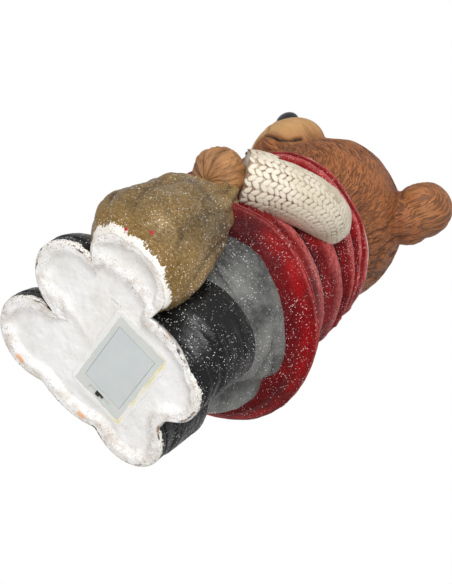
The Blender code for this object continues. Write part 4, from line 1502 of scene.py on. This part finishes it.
housingTints = {"plain": (207, 208, 204), "cloud": (200, 203, 200), "scuff": (215.95, 216.99, 212.83)}
lidTints = {"plain": (201, 205, 204), "cloud": (197, 201, 201), "scuff": (209.71, 213.87, 212.83)}
sliderTints = {"plain": (26, 26, 26), "cloud": (34, 34, 33), "scuff": (27.62, 27.62, 27.62)}
nodePaints = {
    "battery_housing": mouldedPaint("clouded plastic", housingTints, 0.38),
    "battery_lid": mouldedPaint("pale grey plastic", lidTints, 0.33),
    "switch_slider": mouldedPaint("black plastic", sliderTints, 0.4),
}
for name, finish in nodePaints.items():
    node = frame["nodes"][name]
    node.data.materials.clear()
    node.data.materials.append(finish)
print("Battery box finished")

# Glitter: small flakes scattered over the painted surfaces.


glitter = {
    # piece: flakes per square metre
    "density": {
        "leftBoot": 15000.0,
        "rightBoot": 15000.0,
        "sack": 13000.0,
        "trousers": 15000.0,
        "vest": 7500.0,
        "head": 160.0,
    },
    "size": 0.00050,
    "flake": (1.0, 0.9, 0.6),
    "smallest": 0.45,
    "largest": 1.25,
    "firstSeed": 3,
}


def fleckTree():
    # Instances of one small flake, scattered over a surface and turned any way.
    inputs = {"Surface": "Geometry", "Density": "Float", "Size": "Float", "Seed": "Int", "Finish": "Material"}
    tree, start = newTree("Glitter", inputs, "Flecks")
    scatter = {"Mesh": start["Surface"], "Density": start["Density"], "Seed": start["Seed"]}
    scatter = addNode(tree, "GeometryNodeDistributePointsOnFaces", scatter)
    flake = addNode(tree, "GeometryNodeMeshCube", {"Size": glitter["flake"]})
    tilt = {1: (6.28, 6.28, 6.28), "Seed": start["Seed"]}
    tilt = addNode(tree, "FunctionNodeRandomValue", tilt, data_type="FLOAT_VECTOR")
    size = {2: glitter["smallest"], 3: glitter["largest"], "Seed": start["Seed"]}
    size = addNode(tree, "FunctionNodeRandomValue", size, data_type="FLOAT")
    scale = addNode(tree, "ShaderNodeMath", {0: size.outputs[1], 1: start["Size"]}, operation="MULTIPLY")
    instances = {
        "Points": scatter.outputs["Points"],
        "Instance": flake.outputs["Mesh"],
        "Rotation": tilt.outputs[0],
        "Scale": scale.outputs[0],
    }
    endTree(tree, addNode(tree, "GeometryNodeInstanceOnPoints", instances), start["Finish"], False)
    return tree


def buildGlitter():
    tree = fleckTree()
    made = []
    for seed, (name, density) in enumerate(glitter["density"].items(), glitter["firstSeed"]):
        copy = objectFrom(name + "Flecks", bpy.data.objects[name].data.copy())
        settings = {"Density": density, "Size": glitter["size"], "Seed": seed, "Finish": paints["fleck"]}
        made.append(runTree(copy, tree, settings))
    return wear(joined("glitterFlecks", made, paints["fleck"]))


flecks = buildGlitter()
flecks.data.shade_flat()
print("Glitter scattered:", len(flecks.data.polygons) // 6, "flakes")

# Stage, light and camera.

shot = {
    # the camera's angles, and its place along its own right, up and back, in drawn millimetres
    "azimuth": math.radians(104.888),
    "elevation": math.radians(-51.387),
    "roll": math.radians(57.176),
    "offset": (114.466, 61.924, 1349.774),
    "focalPixels": 1500.0,
    "imageHeight": 584.0,
    "sensor": 36.0,
}


stage = {
    "floorReach": 25.0,
    "floorLevel": -0.0004,
    "worldStrength": 0.60,
    "middle": Vector((0.0, 0.0, 0.24)),
    # how far each light stands from the middle along the picture's right, up and back, its size and its power
    "lights": {"key": ((0.30, 0.70, 1.28), 0.6, 13.0), "fill": ((-0.70, -0.40, 1.4), 1.2, 7.0)},
}
floorTints = {"pale": (233.65, 233.65, 233.65), "dull": (231.11, 231.11, 231.11)}


def buildFloor():
    # Seen from above alone, so that it doesn't hide the figure from a camera below it.
    mesh = bpy.data.meshes.new("floor")
    out, level = stage["floorReach"], stage["floorLevel"]
    corners = [(-out, -out, level), (out, -out, level), (out, out, level), (-out, out, level)]
    mesh.from_pydata(corners, [], [(0, 1, 2, 3)])
    floor = objectFrom("floor", mesh)
    f = Finish("pale floor", floorTints, 0.9)
    pale = f.over("pale", "dull", f.cloudy(3.0, 2.0, 0.3, 0.7))
    f.tree.links.new(pale, f.shader.inputs["Base Color"])
    clear = f.node("ShaderNodeBsdfTransparent")
    below = f.node("ShaderNodeNewGeometry").outputs["Backfacing"]
    shown = f.node("ShaderNodeMixShader", {0: below, 1: f.shader.outputs[0], 2: clear.outputs[0]})
    f.tree.links.new(shown.outputs[0], f.tree.nodes["Material Output"].inputs["Surface"])
    mesh.materials.append(f.material)
    floor.visible_shadow = False
    floor.visible_diffuse = False
    floor.visible_glossy = False
    floor.visible_transmission = False


def areaLight(name, place, target, size, power):
    light = bpy.data.lights.new(name, "AREA")
    light.size = size
    light.energy = power
    lamp = objectFrom(name, light)
    lamp.location = place
    lamp.rotation_mode = "QUATERNION"
    lamp.rotation_quaternion = (target - place).to_track_quat("-Z", "Y")


def buildCamera():
    a, e, c, s = shot["azimuth"], shot["elevation"], math.cos(shot["roll"]), math.sin(shot["roll"])
    back = Vector((math.sin(a) * math.cos(e), -math.cos(a) * math.cos(e), math.sin(e)))
    side = Vector((0, 0, 1)).cross(back).normalized()
    top = back.cross(side)
    right, up = c * side + s * top, -s * side + c * top
    x, y, z = (value * unit for value in shot["offset"])
    data = bpy.data.cameras.new("camera")
    data.sensor_width = shot["sensor"]
    data.lens = shot["focalPixels"] * shot["sensor"] / shot["imageHeight"]
    data.clip_start = 0.05
    data.clip_end = 30.0
    camera = objectFrom("camera", data)
    place = right * x + up * y + back * z + Vector(shift)
    turned = Matrix((right, up, back)).transposed()
    camera.matrix_world = Matrix.Translation(place) @ turned.to_4x4()
    bpy.context.scene.camera = camera
    return right, up, back


def buildWorld():
    # Grey to the light that falls on the figure, white where it is seen behind it.
    world = bpy.data.worlds.new("studio")
    world.use_nodes = True
    tree = world.node_tree
    soft = tree.nodes["Background"]
    soft.inputs["Color"].default_value = (1.0, 1.0, 1.0, 1.0)
    soft.inputs["Strength"].default_value = stage["worldStrength"]
    white = addNode(tree, "ShaderNodeBackground", {"Color": (1.0, 1.0, 1.0, 1.0), "Strength": 1.0})
    seen = addNode(tree, "ShaderNodeLightPath").outputs["Is Camera Ray"]
    mixed = addNode(tree, "ShaderNodeMixShader", {0: seen, 1: soft.outputs[0], 2: white.outputs[0]})
    tree.links.new(mixed.outputs[0], tree.nodes["World Output"].inputs["Surface"])
    bpy.context.scene.world = world


buildFloor()
right, up, back = buildCamera()
for name, ((acrossView, upView, backView), size, power) in stage["lights"].items():
    place = stage["middle"] + right * acrossView + up * upView + back * backView
    areaLight(name, place, stage["middle"], size, power)
buildWorld()
bpy.context.scene.view_settings.view_transform = "Standard"
print("Stage set")

total = 0
for piece in bpy.data.objects:
    if piece.type == "MESH" and not piece.hide_render:
        count = sum(len(polygon.vertices) - 2 for polygon in piece.data.polygons)
        total += count
        print(f"{piece.name}: {count} triangles")
print("Triangles in all:", total)
